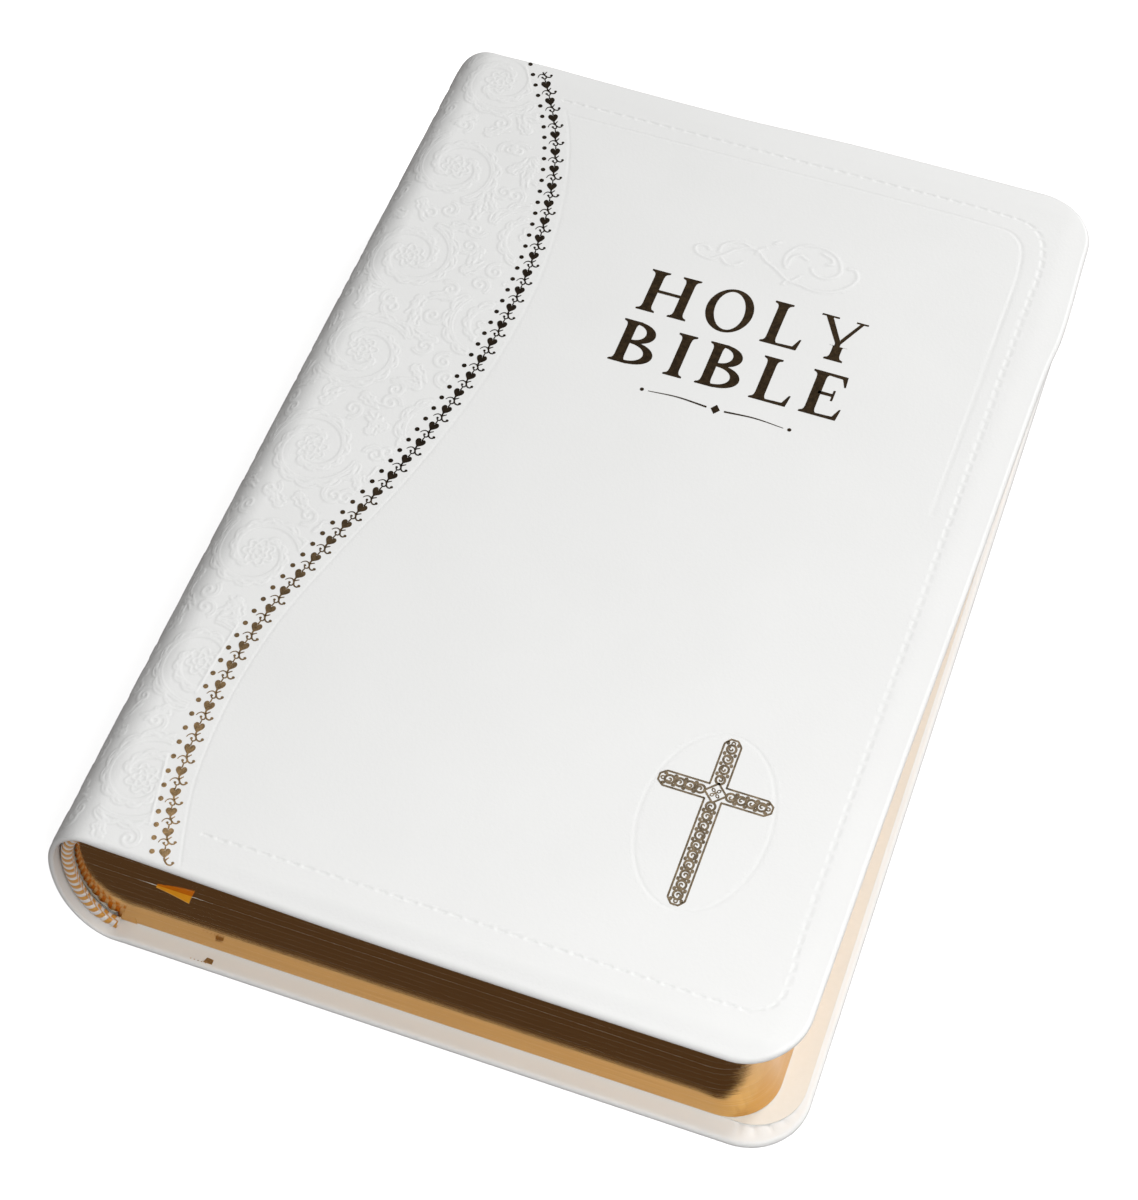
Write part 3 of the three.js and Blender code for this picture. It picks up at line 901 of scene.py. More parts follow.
def cover_skin(side, fine_step, step):
    """Half of the spine and one cover: stamped outside, edges turned in, pocket for the card.
    The mesh is finest where the damask is."""
    spine_steps = multiple((SPINE_DEPTH - UNROLLED_START) / fine_step)
    damask_steps = multiple((DAMASK_FORE - SPINE_DEPTH) / fine_step)
    flat_steps = multiple((WIDTH - COVER_CORNER - DAMASK_FORE) / step)
    row_steps = multiple(LENGTH / fine_step)
    along = np.concatenate(
        (
            np.linspace(UNROLLED_START, SPINE_DEPTH, spine_steps, endpoint=False),
            np.linspace(SPINE_DEPTH, DAMASK_FORE, damask_steps, endpoint=False),
            np.linspace(DAMASK_FORE, WIDTH - COVER_CORNER, flat_steps + 1),
            np.full(CORNER_STEPS, WIDTH - COVER_CORNER),
        )
    )
    arc = np.linspace(0, quarter_turn, CORNER_STEPS + 1)[1:]
    straight = len(along) - CORNER_STEPS
    rows = np.linspace(0, 1, row_steps + 1)
    cover_share = smoothstep(along, SPINE_THIN_END, BEND_START)
    thickness = SPINE_EDGE + (COVER_THICKNESS - SPINE_EDGE) * cover_share
    half = thickness / 2

    relief, shade = cover_relief(side)
    grid_x, grid_y = skin_grid(along, arc, half, rows)
    height = sample(relief, grid_x, grid_y)
    edge_distance = np.minimum(np.minimum(grid_y, LENGTH - grid_y), WIDTH - grid_x)
    height = height * smoothstep(edge_distance, *RELIEF_FADE)
    top = wrap(grid_x.ravel(), grid_y.ravel(), -height.ravel())
    # Painted shade at each point of the outside, read by the leather's colour.
    shades = [np.clip(sample(shade, grid_x, grid_y), 0, 1).ravel()]

    numbers = np.arange(grid_x.size).reshape(grid_x.shape)
    ring = rim(numbers)
    ring_x = grid_x.ravel()[ring]
    ring_y = grid_y.ravel()[ring]
    away = outward(arc, straight, len(rows))
    column_of = np.broadcast_to(np.arange(len(along))[:, None], grid_x.shape).ravel()[ring]
    ring_half = half[column_of]
    pocket = pocket_reach(cover_share[column_of])

    profile = []
    for i in range(1, EDGE_STEPS + 1):
        angle = math.pi * i / EDGE_STEPS
        profile.append((ring_half * math.sin(angle), ring_half * (1 - math.cos(angle))))
    for inward in TURN_IN_ROWS:
        gather = pleats(ring_x, ring_y, inward)
        profile.append((np.full(len(ring), -inward), 2 * ring_half + gather))
    step_depth = 2 * ring_half - TURNED_SKIN
    profile.append((np.full(len(ring), -float(TURN_IN)), step_depth))
    profile.append((pocket, step_depth))

    points = [top]
    rings = [ring]
    count = numbers.size
    for reach, depth in profile:
        at_x = ring_x + away[:, 0] * reach
        at_y = ring_y + away[:, 1] * reach
        points.append(wrap(at_x, at_y, depth))
        shades.append(np.zeros(len(ring)))
        rings.append(count + np.arange(len(ring)))
        count += len(ring)

    under_x, under_y = skin_grid(along, arc, half - pocket_reach(cover_share), rows)
    fine_x = under_x.ravel()[ring]
    fine_y = under_y.ravel()[ring]
    points.append(wrap(fine_x, fine_y, np.full(len(ring), SKIN)))
    shades.append(np.zeros(len(ring)))
    last = count + np.arange(len(ring))
    rings.append(last)
    count += len(ring)

    under = np.full(numbers.shape, -1)
    under.ravel()[ring] = last
    inner = np.zeros(numbers.shape, bool)
    inner[::COARSE, ::COARSE] = True
    inner.ravel()[ring] = False
    inner_count = int(inner.sum())
    under[inner] = count + np.arange(inner_count)
    points.append(wrap(under_x[inner], under_y[inner], np.full(inner_count, SKIN)))
    shades.append(np.zeros(inner_count))

    blocks = [quads(numbers)[:, ::-1], quads(np.array(rings))[:, ::-1]]
    coarse = under[::COARSE, ::COARSE]
    cells = quads(coarse)
    columns, lines = coarse.shape
    border_cell = np.zeros((columns - 1, lines - 1), bool)
    border_cell[:, 0] = True
    border_cell[:, -1] = True
    border_cell[-1, :] = True
    blocks.append(cells[~border_cell.ravel()])
    for i, j in zip(*np.nonzero(border_cell)):
        a, b = i * COARSE, (i + 1) * COARSE
        c, d = j * COARSE, (j + 1) * COARSE
        loop = [under[a, c]]
        loop += list(under[a + 1 : b, c]) if j == 0 else []
        loop.append(under[b, c])
        loop += list(under[b, c + 1 : d]) if i == columns - 2 else []
        loop.append(under[b, d])
        loop += list(under[b - 1 : a : -1, d]) if j == lines - 2 else []
        loop.append(under[a, d])
        blocks.append([loop])
    cap = list(numbers[0]) + [line[-1] for line in rings[1:]]
    cap += list(coarse[0, -2:0:-1]) + [line[0] for line in rings[:0:-1]]
    blocks.append([cap[::-1]])

    shaped = FLEX[side](np.vstack(points))
    piece = add_piece(f"{side}_skin", shaped, blocks, [LEATHER], {"shade": np.concatenate(shades)})
    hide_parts(f"{side}_cover_skin", *(["spine_skin"] if side == "front" else []))
    bend(piece)


for side, (fine_step, step) in SKIN_STEPS.items():
    cover_skin(side, fine_step, step)

# ---------------------------------------------------------------- cards and endpapers

# A sheet's columns stand closer together where it bends, over this share of its width.
BEND_SHARE = 0.06
bend_columns = np.linspace(0, BEND_SHARE, 9)
SHEET_SPREAD = np.concatenate((bend_columns, np.linspace(BEND_SHARE, 1, 34)[1:]))
SHEET_ROWS = np.linspace(0, 1, 45)
FLYLEAF_WAVE = 0.04
WAVE_LENGTH = 9
WAVE_START = 60
PASTEDOWN_GROWN = 0.9


def cover_ply(name, node, material, radius, fore_grown=0.0):
    """A flat ply of one cover, bent with it: the card or the pastedown."""
    side = name.split("_")[0]
    low, high = node_box(node)
    levels = [(z, low[0], high[0] + fore_grown, low[1], high[1]) for z in (low[2], high[2])]
    points, faces = layered_sheet(levels, SHEET_SPREAD, SHEET_ROWS, radius)
    if side == "back":
        points[:, 2] = THICKNESS - points[:, 2]
    piece = add_piece(name, FLEX[side](points), faces, [material])
    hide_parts(node)
    bend(piece)


def flyleaf(side):
    """The free half of the endpaper, with a slight wave along its fore edge."""
    node = f"{side}_flyleaf"
    low, high = node_box(node)
    levels = [(z, low[0], high[0], PAGE_TAIL, high[1]) for z in (low[2], high[2])]
    points, faces = layered_sheet(levels, SHEET_SPREAD, SHEET_ROWS, PAGE_CORNER)
    waviness = FLYLEAF_WAVE * smoothstep(points[:, 0], WAVE_START, PAGE_FORE)
    points[:, 2] += waviness * np.sin(points[:, 1] / WAVE_LENGTH)
    piece = add_piece(f"{node}_sheet", points, faces, [ENDPAPER])
    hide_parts(node)
    bend(piece)


for side in ("front", "back"):
    card_node = f"{side}_cover_card"
    cover_ply(f"{side}_card_ply", card_node, CARD, COVER_CORNER - SKIN - 0.1)
    paper_node = f"{side}_pastedown"
    cover_ply(f"{paper_node}_ply", paper_node, ENDPAPER, PAGE_CORNER, PASTEDOWN_GROWN)
    flyleaf(side)

# ---------------------------------------------------------------- pages


def fore_edge(z):
    """How far the pages reach at height z: their fore edge is hollow across the thickness."""
    share = (z - MIDDLE) / (MIDDLE - BLOCK_BASE)
    return PAGE_FORE - FORE_HOLLOW * max(1 - share * share, 0)


def leaf_levels(low, high, left_of, leaves):
    """Levels of a bundle of leaves, each leaf standing out or in a little."""
    levels = []
    pitch = (high[2] - low[2]) / leaves
    for i in range(leaves):
        base = low[2] + i * pitch
        out = random.uniform(-LEAF_STRAY, LEAF_STRAY)
        for share, pull in ((0.0, LEAF_EDGE), (0.2, 0.0), (0.8, 0.0), (1.0, LEAF_EDGE)):
            if i and share == 0.0:
                continue
            z = base + share * pitch
            inset = pull - out
            ends = (PAGE_TAIL + inset, PAGE_HEAD - inset)
            levels.append((z, left_of(z), fore_edge(z) - inset, *ends))
    return levels


FOLD_ROUND = 0.6


def fold_left(low, high):
    """The rounded fold at a section's spine side."""
    middle = (low[2] + high[2]) / 2
    half = (high[2] - low[2]) / 2

    def left(z):
        share = min(abs(z - middle) / half, 1)
        return low[0] + FOLD_ROUND * (1 - math.sqrt(max(1 - share * share, 0)))

    return left


MARKER_X = 16.5
MARKER_DRIFT = 7.0
# How near the leaves beside the marker come to each other, and over what distance from it.
PRESSED_GAP = 0.024
PRESSED_FROM = MARKER_WIDTH / 2
PRESSED_TO = PRESSED_FROM + 4


def marker_middle(y):
    """Middle of the ribbon marker: it drifts away from the spine towards the tail."""
    drift = smoothstep(PAGE_HEAD - np.asarray(y), 0, PAGE_HEAD - PAGE_TAIL)
    return MARKER_X + MARKER_DRIFT * drift


def close_gap(points):
    """Presses the leaves above and below the marker together away from it."""
    aside = np.abs(points[:, 0] - marker_middle(points[:, 1]))
    pressed = smoothstep(aside, PRESSED_FROM, PRESSED_TO)
    away = points[:, 2] - MARKER_LEVEL
    near = np.abs(away) < MARKER_GAP
    closing = (MARKER_GAP - PRESSED_GAP) / 2 * pressed * np.sign(away)
    points[near, 2] -= closing[near]


SECTION_SPREAD = np.linspace(0, 1, 64)
TURNING_LEAVES = 4
turning_nodes = [f"{side}_leaves_{i}" for side in ("front", "back") for i in (1, 2, 3)]
fixed_nodes = [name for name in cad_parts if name.startswith("section_")]
fold_nodes = ["front_section_folds", "back_section_folds"]


def between_flyleaves():
    """The height each bundle of leaves fills: the gaps between the CAD bundles are closed."""
    names = sorted(turning_nodes + fixed_nodes, key=lambda name: node_box(name)[0][2])
    middles = [FLYLEAF_HIGH[2]]
    for lower, upper in zip(names[:-1], names[1:]):
        middles.append((node_box(lower)[1][2] + node_box(upper)[0][2]) / 2)
    middles.append(THICKNESS - FLYLEAF_HIGH[2])
    pairs = zip(names, middles[:-1], middles[1:])
    return {name: (low + LEAF_GAP / 2, high - LEAF_GAP / 2) for name, low, high in pairs}


def page_bundle(name, node, points, faces):
    piece = add_piece(name, points, faces, [GILT, PAGE_PAPER], paints=[1, 1, 0])
    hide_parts(node)
    return piece


BESIDE_MARKER = 0.1
bundle_heights = between_flyleaves()
for node in sorted(fixed_nodes):
    low, high = node_box(node)
    low[2], high[2] = bundle_heights[node]
    above_marker, below_marker = (abs(end[2] - MARKER_LEVEL) < BESIDE_MARKER for end in (low, high))
    if above_marker:
        low[2] = MARKER_LEVEL + MARKER_GAP / 2
    if below_marker:
        high[2] = MARKER_LEVEL - MARKER_GAP / 2
    levels = leaf_levels(low, high, fold_left(low, high), LEAVES_PER_SECTION)
    points, faces = layered_sheet(levels, SECTION_SPREAD, SHEET_ROWS, PAGE_CORNER)
    if above_marker or below_marker:
        close_gap(points)
    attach(page_bundle(f"{node}_leaves", node, points, faces), "text_block")

for node in turning_nodes:
    low, high = node_box(node)
    low[2], high[2] = bundle_heights[node]
    levels = leaf_levels(low, high, lambda z, left=low[0]: left, TURNING_LEAVES)
    points, faces = layered_sheet(levels, SHEET_SPREAD, SHEET_ROWS, PAGE_CORNER)
    bend(page_bundle(f"{node}_sheets", node, points, faces))

# The folds that the turning leaves come out of reach down to the covers.
FOLD_LEFT = 9.4
FOLD_RIGHT = FLYLEAF_LOW[0] - 0.03
FOLD_BULGE = 0.5
FOLD_CORNER = 0.02
FOLD_CLEAR = COVER_THICKNESS + 0.05
for node in fold_nodes:
    side = node.split("_")[0]
    inside = bundle_heights[f"{side}_leaves_3"]
    bottom, top = (FOLD_CLEAR, inside[1]) if side == "back" else (inside[0], THICKNESS - FOLD_CLEAR)
    middle = (bottom + top) / 2
    levels = []
    for share in np.linspace(-1, 1, 25):
        left = FOLD_LEFT + FOLD_BULGE * (1 - math.sqrt(1 - share * share))
        levels.append((middle + share * (top - bottom) / 2, left, FOLD_RIGHT, PAGE_TAIL, PAGE_HEAD))
    points, faces = layered_sheet(levels, np.linspace(0, 1, 9), SHEET_ROWS, FOLD_CORNER, 3)
    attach(page_bundle(f"{node}_block", node, points, faces), "text_block")

# ---------------------------------------------------------------- spine and sewing


def inset_round(inset, turn):
    """Points of the spine's round inside the outside. `turn` goes from -1 to 1."""
    angle = np.asarray(turn) * quarter_turn
    outwards = np.maximum(np.cos(angle), 0) ** (2 / SPINE_POWER)
    upwards = np.sign(angle) * np.abs(np.sin(angle)) ** (2 / SPINE_POWER)
    x = SPINE_DEPTH - (SPINE_DEPTH - inset) * outwards
    return np.column_stack((x, MIDDLE + (MIDDLE - inset) * upwards))


PLY_THICKNESS = 0.4


def spine_ply(name, node, inset, tail, head, material, slot, reach=1.0):
    """A ply laid round the spine from tail to head, over `reach` of each half of the round."""
    turn = np.linspace(-reach, reach, 73)
    outline = np.vstack((inset_round(inset, turn), inset_round(inset + PLY_THICKNESS, turn)[::-1]))
    stations = np.linspace(tail, head, 41)
    points = np.vstack([np.insert(outline, 1, y, axis=1) for y in stations])
    numbers = np.arange(len(points)).reshape(len(stations), -1)
    piece = add_piece(name, points, tube(numbers), [material])
    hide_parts(node)
    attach(piece, "text_block")


CARD_CLEAR = 12
spine_ply("spine_card_ply", "spine_card", SKIN + 0.1, CARD_CLEAR, LENGTH - CARD_CLEAR, CARD, "flexible_card")

CLOTH_INSET = 2.95
CLOTH_LENGTH = 12.2
CLOTH_REACH = 0.85
for end, tail in (("tail", PAGE_TAIL + 0.1), ("head", LENGTH - 16.4)):
    node = f"{end}_headband_cloth"
    cloth_ends = (tail, tail + CLOTH_LENGTH)
    spine_ply(f"{node}_ply", node, CLOTH_INSET, *cloth_ends, TAPE, "cotton_tape", CLOTH_REACH)

WINDING_PITCH = 2.1
WINDING_RIDGE = 0.09
WINDING_SLANT = 0.9
ROLL_STEPS = 24
ROLL_PITCH = 0.11


def headband(node, outward_y):
    """A roll of thread wound in two colours, laid on one end of the folds."""
    low, high = node_box(node)
    y = (low[1] + high[1]) / 2 + outward_y * HEADBAND_OUT
    turn = np.linspace(-SPINE_REACH, SPINE_REACH, 400)
    route = even_spacing(inset_round(HEADBAND_INSET, turn), ROLL_PITCH)
    heading = unit(np.gradient(route, axis=0))
    aside = np.column_stack((heading[:, 1], -heading[:, 0]))
    rings, winding = [], []
    for i, (place, out) in enumerate(zip(route, aside)):
        for k in range(ROLL_STEPS):
            angle = 2 * math.pi * k / ROLL_STEPS
            phase = i * ROLL_PITCH / WINDING_PITCH + k / ROLL_STEPS * WINDING_SLANT
            dip = abs(math.cos(2 * math.pi * phase)) ** 6
            radius = HEADBAND_RADIUS - WINDING_RIDGE * dip
            x, z = place + out * radius * math.cos(angle)
            rings.append((x, y - outward_y * radius * math.sin(angle), z))
            winding.append(phase)
    faces = tube(np.arange(len(rings)).reshape(-1, ROLL_STEPS))
    piece = add_piece(f"{node}_roll", np.array(rings), faces, [SILK], {"winding": winding})
    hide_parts(node)
    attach(piece, "text_block")


headband("tail_headband", -1)
headband("head_headband", 1)


MARKER_HALF = 0.1
MARKER_COLUMNS = 25
MARKER_RIPPLE = 0.015
# From here to the tail the marker's rows stand closer together.
MARKER_FINE = 12
# How far the cut end hangs out at its short side, how much further at its long side, its sag.
MARKER_OUT = 0.35
MARKER_SLANT = 1.0
MARKER_SAG = 0.35
SAG_REACH = 2.2
MARKER_CURL = 0.1


def ribbon():
    """The marker: flat between the sections, its cut end curling down a little at the tail."""
    across = np.linspace(-0.5, 0.5, MARKER_COLUMNS)
    plain = np.linspace(PAGE_HEAD, MARKER_FINE, 60)
    stations = np.concatenate((plain, np.linspace(MARKER_FINE, PAGE_TAIL, 18)[1:]))
    grids = []
    for level in (MARKER_LEVEL - MARKER_HALF, MARKER_LEVEL + MARKER_HALF):
        grid = []
        for y in stations:
            x = marker_middle(y) + across * MARKER_WIDTH
            ripple = MARKER_RIPPLE * np.cos(across * 30)
            grid.append(np.column_stack((x, np.full(MARKER_COLUMNS, y), level + ripple)))
        for share in np.linspace(0, 1, 15)[1:]:
            out = share * (MARKER_OUT + (across + 0.5) * MARKER_SLANT)
            sag = -MARKER_SAG * (out / SAG_REACH) ** 2 + MARKER_CURL * np.cos(across * 5) * share
            x = marker_middle(PAGE_TAIL) + across * MARKER_WIDTH
            grid.append(np.column_stack((x, PAGE_TAIL - out, level + sag)))
        grids.append(np.array(grid).reshape(-1, 3))
    numbers = np.arange(len(grids[0])).reshape(-1, MARKER_COLUMNS)
    ring = full_rim(numbers)
    closed = np.append(ring, ring[0])
    wall = quads(np.array((closed, closed + numbers.size)))
    faces = [quads(numbers)[:, ::-1], quads(numbers + numbers.size), wall]
    piece = add_piece("satin_marker", np.vstack(grids), faces, [SATIN])
    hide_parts("ribbon_marker")
    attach(piece, "text_block")


ribbon()

CAD_FINISHES = {"spine_liner": KRAFT, "mull": MULL}
CAD_FINISHES.update({f"sewing_tape_{i}": TAPE for i in (1, 2, 3)})
CAD_FINISHES.update({f"kettle_stitch_{end}": THREAD for end in ("tail", "head")})
for node, material in CAD_FINISHES.items():
    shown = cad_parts[node].data
    shown.materials.clear()
    shown.materials.append(material)

# ---------------------------------------------------------------- foil


def brush(line, width, taper=0.0):
    """Outline of a stroke along `line`. With taper 1 it runs out to a point."""
    line = np.asarray(line, float)
    heading = unit(np.gradient(line, axis=0))
    side = np.column_stack((-heading[:, 1], heading[:, 0]))
    share = np.linspace(0, 1, len(line))[:, None]
    half = width / 2 * (1 - taper * share * 0.85)
    return np.vstack((line + side * half, (line - side * half)[::-1]))


def edge_fall(y):
    """How far the rounded head and tail edges of the skin are below its flat."""
    radius = COVER_THICKNESS / 2
    inward = np.clip(radius - np.minimum(y, LENGTH - y), 0, radius)
    return radius - np.sqrt(radius**2 - inward**2)


def foil_piece(name, shapes, side, material, depth=0.0):
    """Thin closed solids standing on the cover, one per shape. A shape is a list of outlines:
    the outside, then any holes. With `depth` they stand on the inside of the turned-in skin."""
    facing = -1 if depth else 1
    level = THICKNESS - depth
    points, triangles, walls = [], [], []
    count = 0
    for number, outlines in enumerate(shapes):
        fine = [even_spacing(np.vstack((o, o[:1])), FOIL_STEP)[:-1] for o in outlines]
        for outline in fine:
            line = count + np.arange(len(outline))
            walls.append(np.column_stack((line, np.roll(line, -1))))
            proud = np.full(len(outline), FOIL_PROUD + FOIL_STAGGER * (number % 3))
            points.append(np.column_stack((outline, proud)))
            count += len(outline)
        polygon = [[(x, y, 0) for x, y in outline] for outline in fine]
        base = count - sum(len(outline) for outline in fine)
        for corners in tessellate_polygon(polygon):
            triangles.append([base + corner for corner in corners])
    flat = np.vstack(points)
    triangles = np.array(triangles)
    a, b, c = (flat[triangles[:, i], :2] for i in range(3))
    area = (b[:, 0] - a[:, 0]) * (c[:, 1] - a[:, 1]) - (b[:, 1] - a[:, 1]) * (c[:, 0] - a[:, 0])
    triangles = triangles[np.abs(area) > SLIVER]
    area = area[np.abs(area) > SLIVER]
    triangles[area < 0] = triangles[area < 0][:, ::-1]
    edges = set()
    for triangle in triangles:
        for first, second in zip(triangle, np.roll(triangle, -1)):
            edges.add((int(first), int(second)))
    wall = []
    for first, second in np.vstack(walls):
        if (int(first), int(second)) in edges:
            wall.append((second, first, first + count, second + count))
        else:
            wall.append((first, second, second + count, first + count))
    level = level - edge_fall(flat[:, 1])
    top = np.column_stack((flat[:, :2], level + facing * flat[:, 2]))
    bottom = np.column_stack((flat[:, :2], level - facing * FOIL_SUNK))
    shaped = FLEX[side](np.vstack((top, bottom)))
    faces = [triangles, triangles[:, ::-1] + count, np.array(wall)]
    piece = add_piece(name, shaped, faces, [material])
    bend(piece)


HEART_LENGTH = 2.5
HEART_WIDTH = 2.1


def heart():
    """A heart whose point looks along +x, by the usual sum of cosines, which is 29 units long."""
    angle = np.linspace(0, 2 * math.pi, 40, endpoint=False)
    y = np.sin(angle) ** 3
    x = -(13 * np.cos(angle) - 5 * np.cos(2 * angle) - 2 * np.cos(3 * angle) - np.cos(4 * angle))
    return np.column_stack((x / 29 * HEART_LENGTH + 0.02, y * HEART_WIDTH / 2))


# The sprig under each heart: control points, width and taper of each stroke, then its balls.
SPRIG = (
    (((1.1, 0), (1.68, 0.05), (2.27, 0.33), (2.71, 0.62), (2.93, 1.11), (2.77, 1.5), (2.4, 1.68)), 0.34, 0.2),
    (((2.37, 0.4), (1.84, -0.1), (1.74, -0.67), (2.13, -1.17), (2.71, -1.42)), 0.32, 0.7),
    (((2.3, 0.38), (2.98, 0.4), (3.22, 0.04), (3.1, -0.26), (2.75, -0.42)), 0.27, 0.1),
    (((1.95, 0.12), (1.6, 0.4), (1.12, 0.86)), 0.34, 0.55),
    (((4.3, 0.02), (3.8, 0.02), (3.2, 0.04)), 0.3, 0.4),
)
SPRIG_BALLS = ((2.4, 1.62, 0.31), (2.72, -0.40, 0.27))
# Motifs and dots run past both edges, and those nearer than this to an edge are left out.
EDGE_CLEAR = 0.6
MOTIFS = range(-2, 51)
DOTS = range(-2, 78)


def border_place(index):
    """Where the motif with this number, counted from the head, lies along the border."""
    trim = np.interp(index, *zip(*TAIL_TRIM))
    return FIRST_HEART + HEART_PITCH * index - PITCH_LOSS * index**2 + trim


def border_shapes():
    shapes = []
    for i in MOTIFS:
        along = border_place(i)
        stretch = ((border_place(i + 0.5) - border_place(i - 0.5)) / HEART_PITCH, 1)
        shapes.append([on_border(heart() * stretch, along)])
        for line, width, taper in SPRIG:
            stroke = brush(catmull_rom(line, 5), width, taper)
            shapes.append([on_border(stroke * stretch, along)])
        for x, y, radius in SPRIG_BALLS:
            shapes.append([on_border((round_shape(radius) + (x, y)) * stretch, along)])
    for i in DOTS:
        along = border_place(DOT_PITCH * i + DOT_START)
        shapes.append([on_border(round_shape(DOT_RADIUS), along, -DOT_OFFSET)])
    kept = []
    for outlines in shapes:
        outlines = [unslipped(outline) for outline in outlines]
        y = outlines[0][:, 1]
        if y.min() > EDGE_CLEAR and y.max() < LENGTH - EDGE_CLEAR:
            kept.append(outlines)
    return kept


# Letters are drawn one unit high from stems, bars and bowls; each part is a list of outlines.
STEM = 0.172
HAIRLINE = 0.066
SERIF = 0.085


def stem(x, top=1.0):
    """An upright with bracketed serifs at both ends."""
    flare = ((SERIF, 0), (SERIF, 0.035), (0.03, 0.06), (0.008, 0.1), (0, 0.16))
    right = [(x + STEM + dx, dy) for dx, dy in flare]
    right += [(x + STEM + dx, top - dy) for dx, dy in reversed(flare)]
    left = [(x - dx, top - dy) for dx, dy in flare]
    left += [(x - dx, dy) for dx, dy in reversed(flare)]
    return [np.array(right + left)]


def bar(x0, x1, y, height=HAIRLINE):
    return [np.array(((x0, y), (x1, y), (x1, y + height), (x0, y + height)))]


def arm(x0, x1, y, flag):
    """A horizontal arm with a slanting serif, upwards or downwards."""
    if flag > 0:
        end = ((x1, y), (x1 + 0.03, y + 0.26), (x1, y + 0.26), (x1 - 0.08, y + 0.07))
        return [np.array(((x0, y), *end, (x0, y + 0.05)))]
    end = ((x1 - 0.08, y - 0.07), (x1 - 0.01, y - 0.24), (x1 + 0.02, y - 0.24), (x1, y))
    return [np.array(((x0, y), (x0, y - 0.05), *end))]


def bowl(x, bottom, top, reach):
    """A half round joined to a stem, thick at its side."""
    angle = np.linspace(-quarter_turn, quarter_turn, 24)
    middle = (bottom + top) / 2
    half = (top - bottom) / 2
    outer = np.column_stack((x + reach * np.cos(angle) ** 0.8, middle + half * np.sin(angle)))
    inner = np.column_stack(
        (x + (reach - STEM) * np.cos(angle) ** 0.8, middle + (half - HAIRLINE) * np.sin(angle))
    )
    return [np.vstack((outer, inner[::-1]))]


def letter_o():
    angle = np.linspace(0, 2 * math.pi, 48, endpoint=False)
    outer = np.column_stack((0.42 + 0.42 * np.cos(angle), 0.5 + 0.52 * np.sin(angle)))
    inner = np.column_stack((0.27 * np.cos(angle), 0.455 * np.sin(angle)))
    return [[outer, turned(inner, 0.12, (0.42, 0.5))]]


def letter_y():
    left = np.array(((0.03, 0.965), (0.16, 0.965), (0.46, 0.42), (0.46, 0.3), (0.36, 0.3), (0.36, 0.4)))
    right = np.array(((0.72, 0.965), (0.655, 0.965), (0.43, 0.5), (0.45, 0.38)))
    foot = stem(0.345, 0.46)
    foot[0][:, 1] = np.clip(foot[0][:, 1], 0, 0.34)
    return [[left], [right], bar(-0.05, 0.27, 0.962, 0.036), bar(0.58, 0.8, 0.962, 0.036), foot]


LETTERS = {
    "H": (1.02, lambda: [stem(0.08), stem(0.66), bar(0.15, 0.75, 0.485)]),
    "O": (0.98, letter_o),
    "L": (0.76, lambda: [stem(0.08), arm(0.15, 0.66, 0.0, 1)]),
    "Y": (0.9, letter_y),
    "B": (0.84, lambda: [stem(0.08), bowl(0.2, 0.0, 0.54, 0.53), bowl(0.2, 0.49, 1.0, 0.44)]),
    "I": (0.47, lambda: [stem(0.11)]),
    "E": (
        0.78,
        lambda: [stem(0.08), arm(0.15, 0.66, 0.0, 1), arm(0.15, 0.61, 1.0, -1), bar(0.2, 0.48, 0.49)]
        + [bar(0.45, 0.49, 0.40, 0.24)],
    ),
}


def word(text, middle_x, base_y, height, spacing):
    """Shapes of a word set in the letters above, centred on middle_x."""
    widths = [LETTERS[letter][0] * height for letter in text]
    total = sum(widths) + spacing * (len(text) - 1)
    x = middle_x - total / 2
    shapes = []
    for letter, width in zip(text, widths):
        for part in LETTERS[letter][1]():
            shapes.append([outline * height + (x, base_y) for outline in part])
        x += width + spacing
    return shapes


TITLE_X = 85.5
TITLE_LINES = {"HOLY": 150.4, "BIBLE": 135.8}
LETTER_HEIGHT = 11.4
LETTER_SPACING = 1.6
RULE_MIDDLE = (TITLE_X, 130.6)
RULE_WIDTH = 0.42


def title_shapes():
    """Two generic words over a small rule with a diamond."""
    shapes = []
    for text, base_y in TITLE_LINES.items():
        shapes += word(text, TITLE_X, base_y, LETTER_HEIGHT, LETTER_SPACING)
    for side in (-1, 1):
        line = np.array(((1.8, 0), (8, 0.45), (14, 0))) * (side, 1) + RULE_MIDDLE
        shapes.append([brush(catmull_rom(line, 12), RULE_WIDTH, 0.8)])
        shapes.append([round_shape(RULE_WIDTH) + (side * 15.2, 0) + RULE_MIDDLE])
    shapes.append([np.array(((0, 1.2), (-0.95, 0), (0, -1.2), (0.95, 0))) + RULE_MIDDLE])
    return shapes


ARM_HALF = 1.6
ARM_LENGTHS = (10.7, 11.7, 10.7, 23.8)
FRAME = 0.36
FIRST_RING = 2.9
RING_PITCH = 2.0


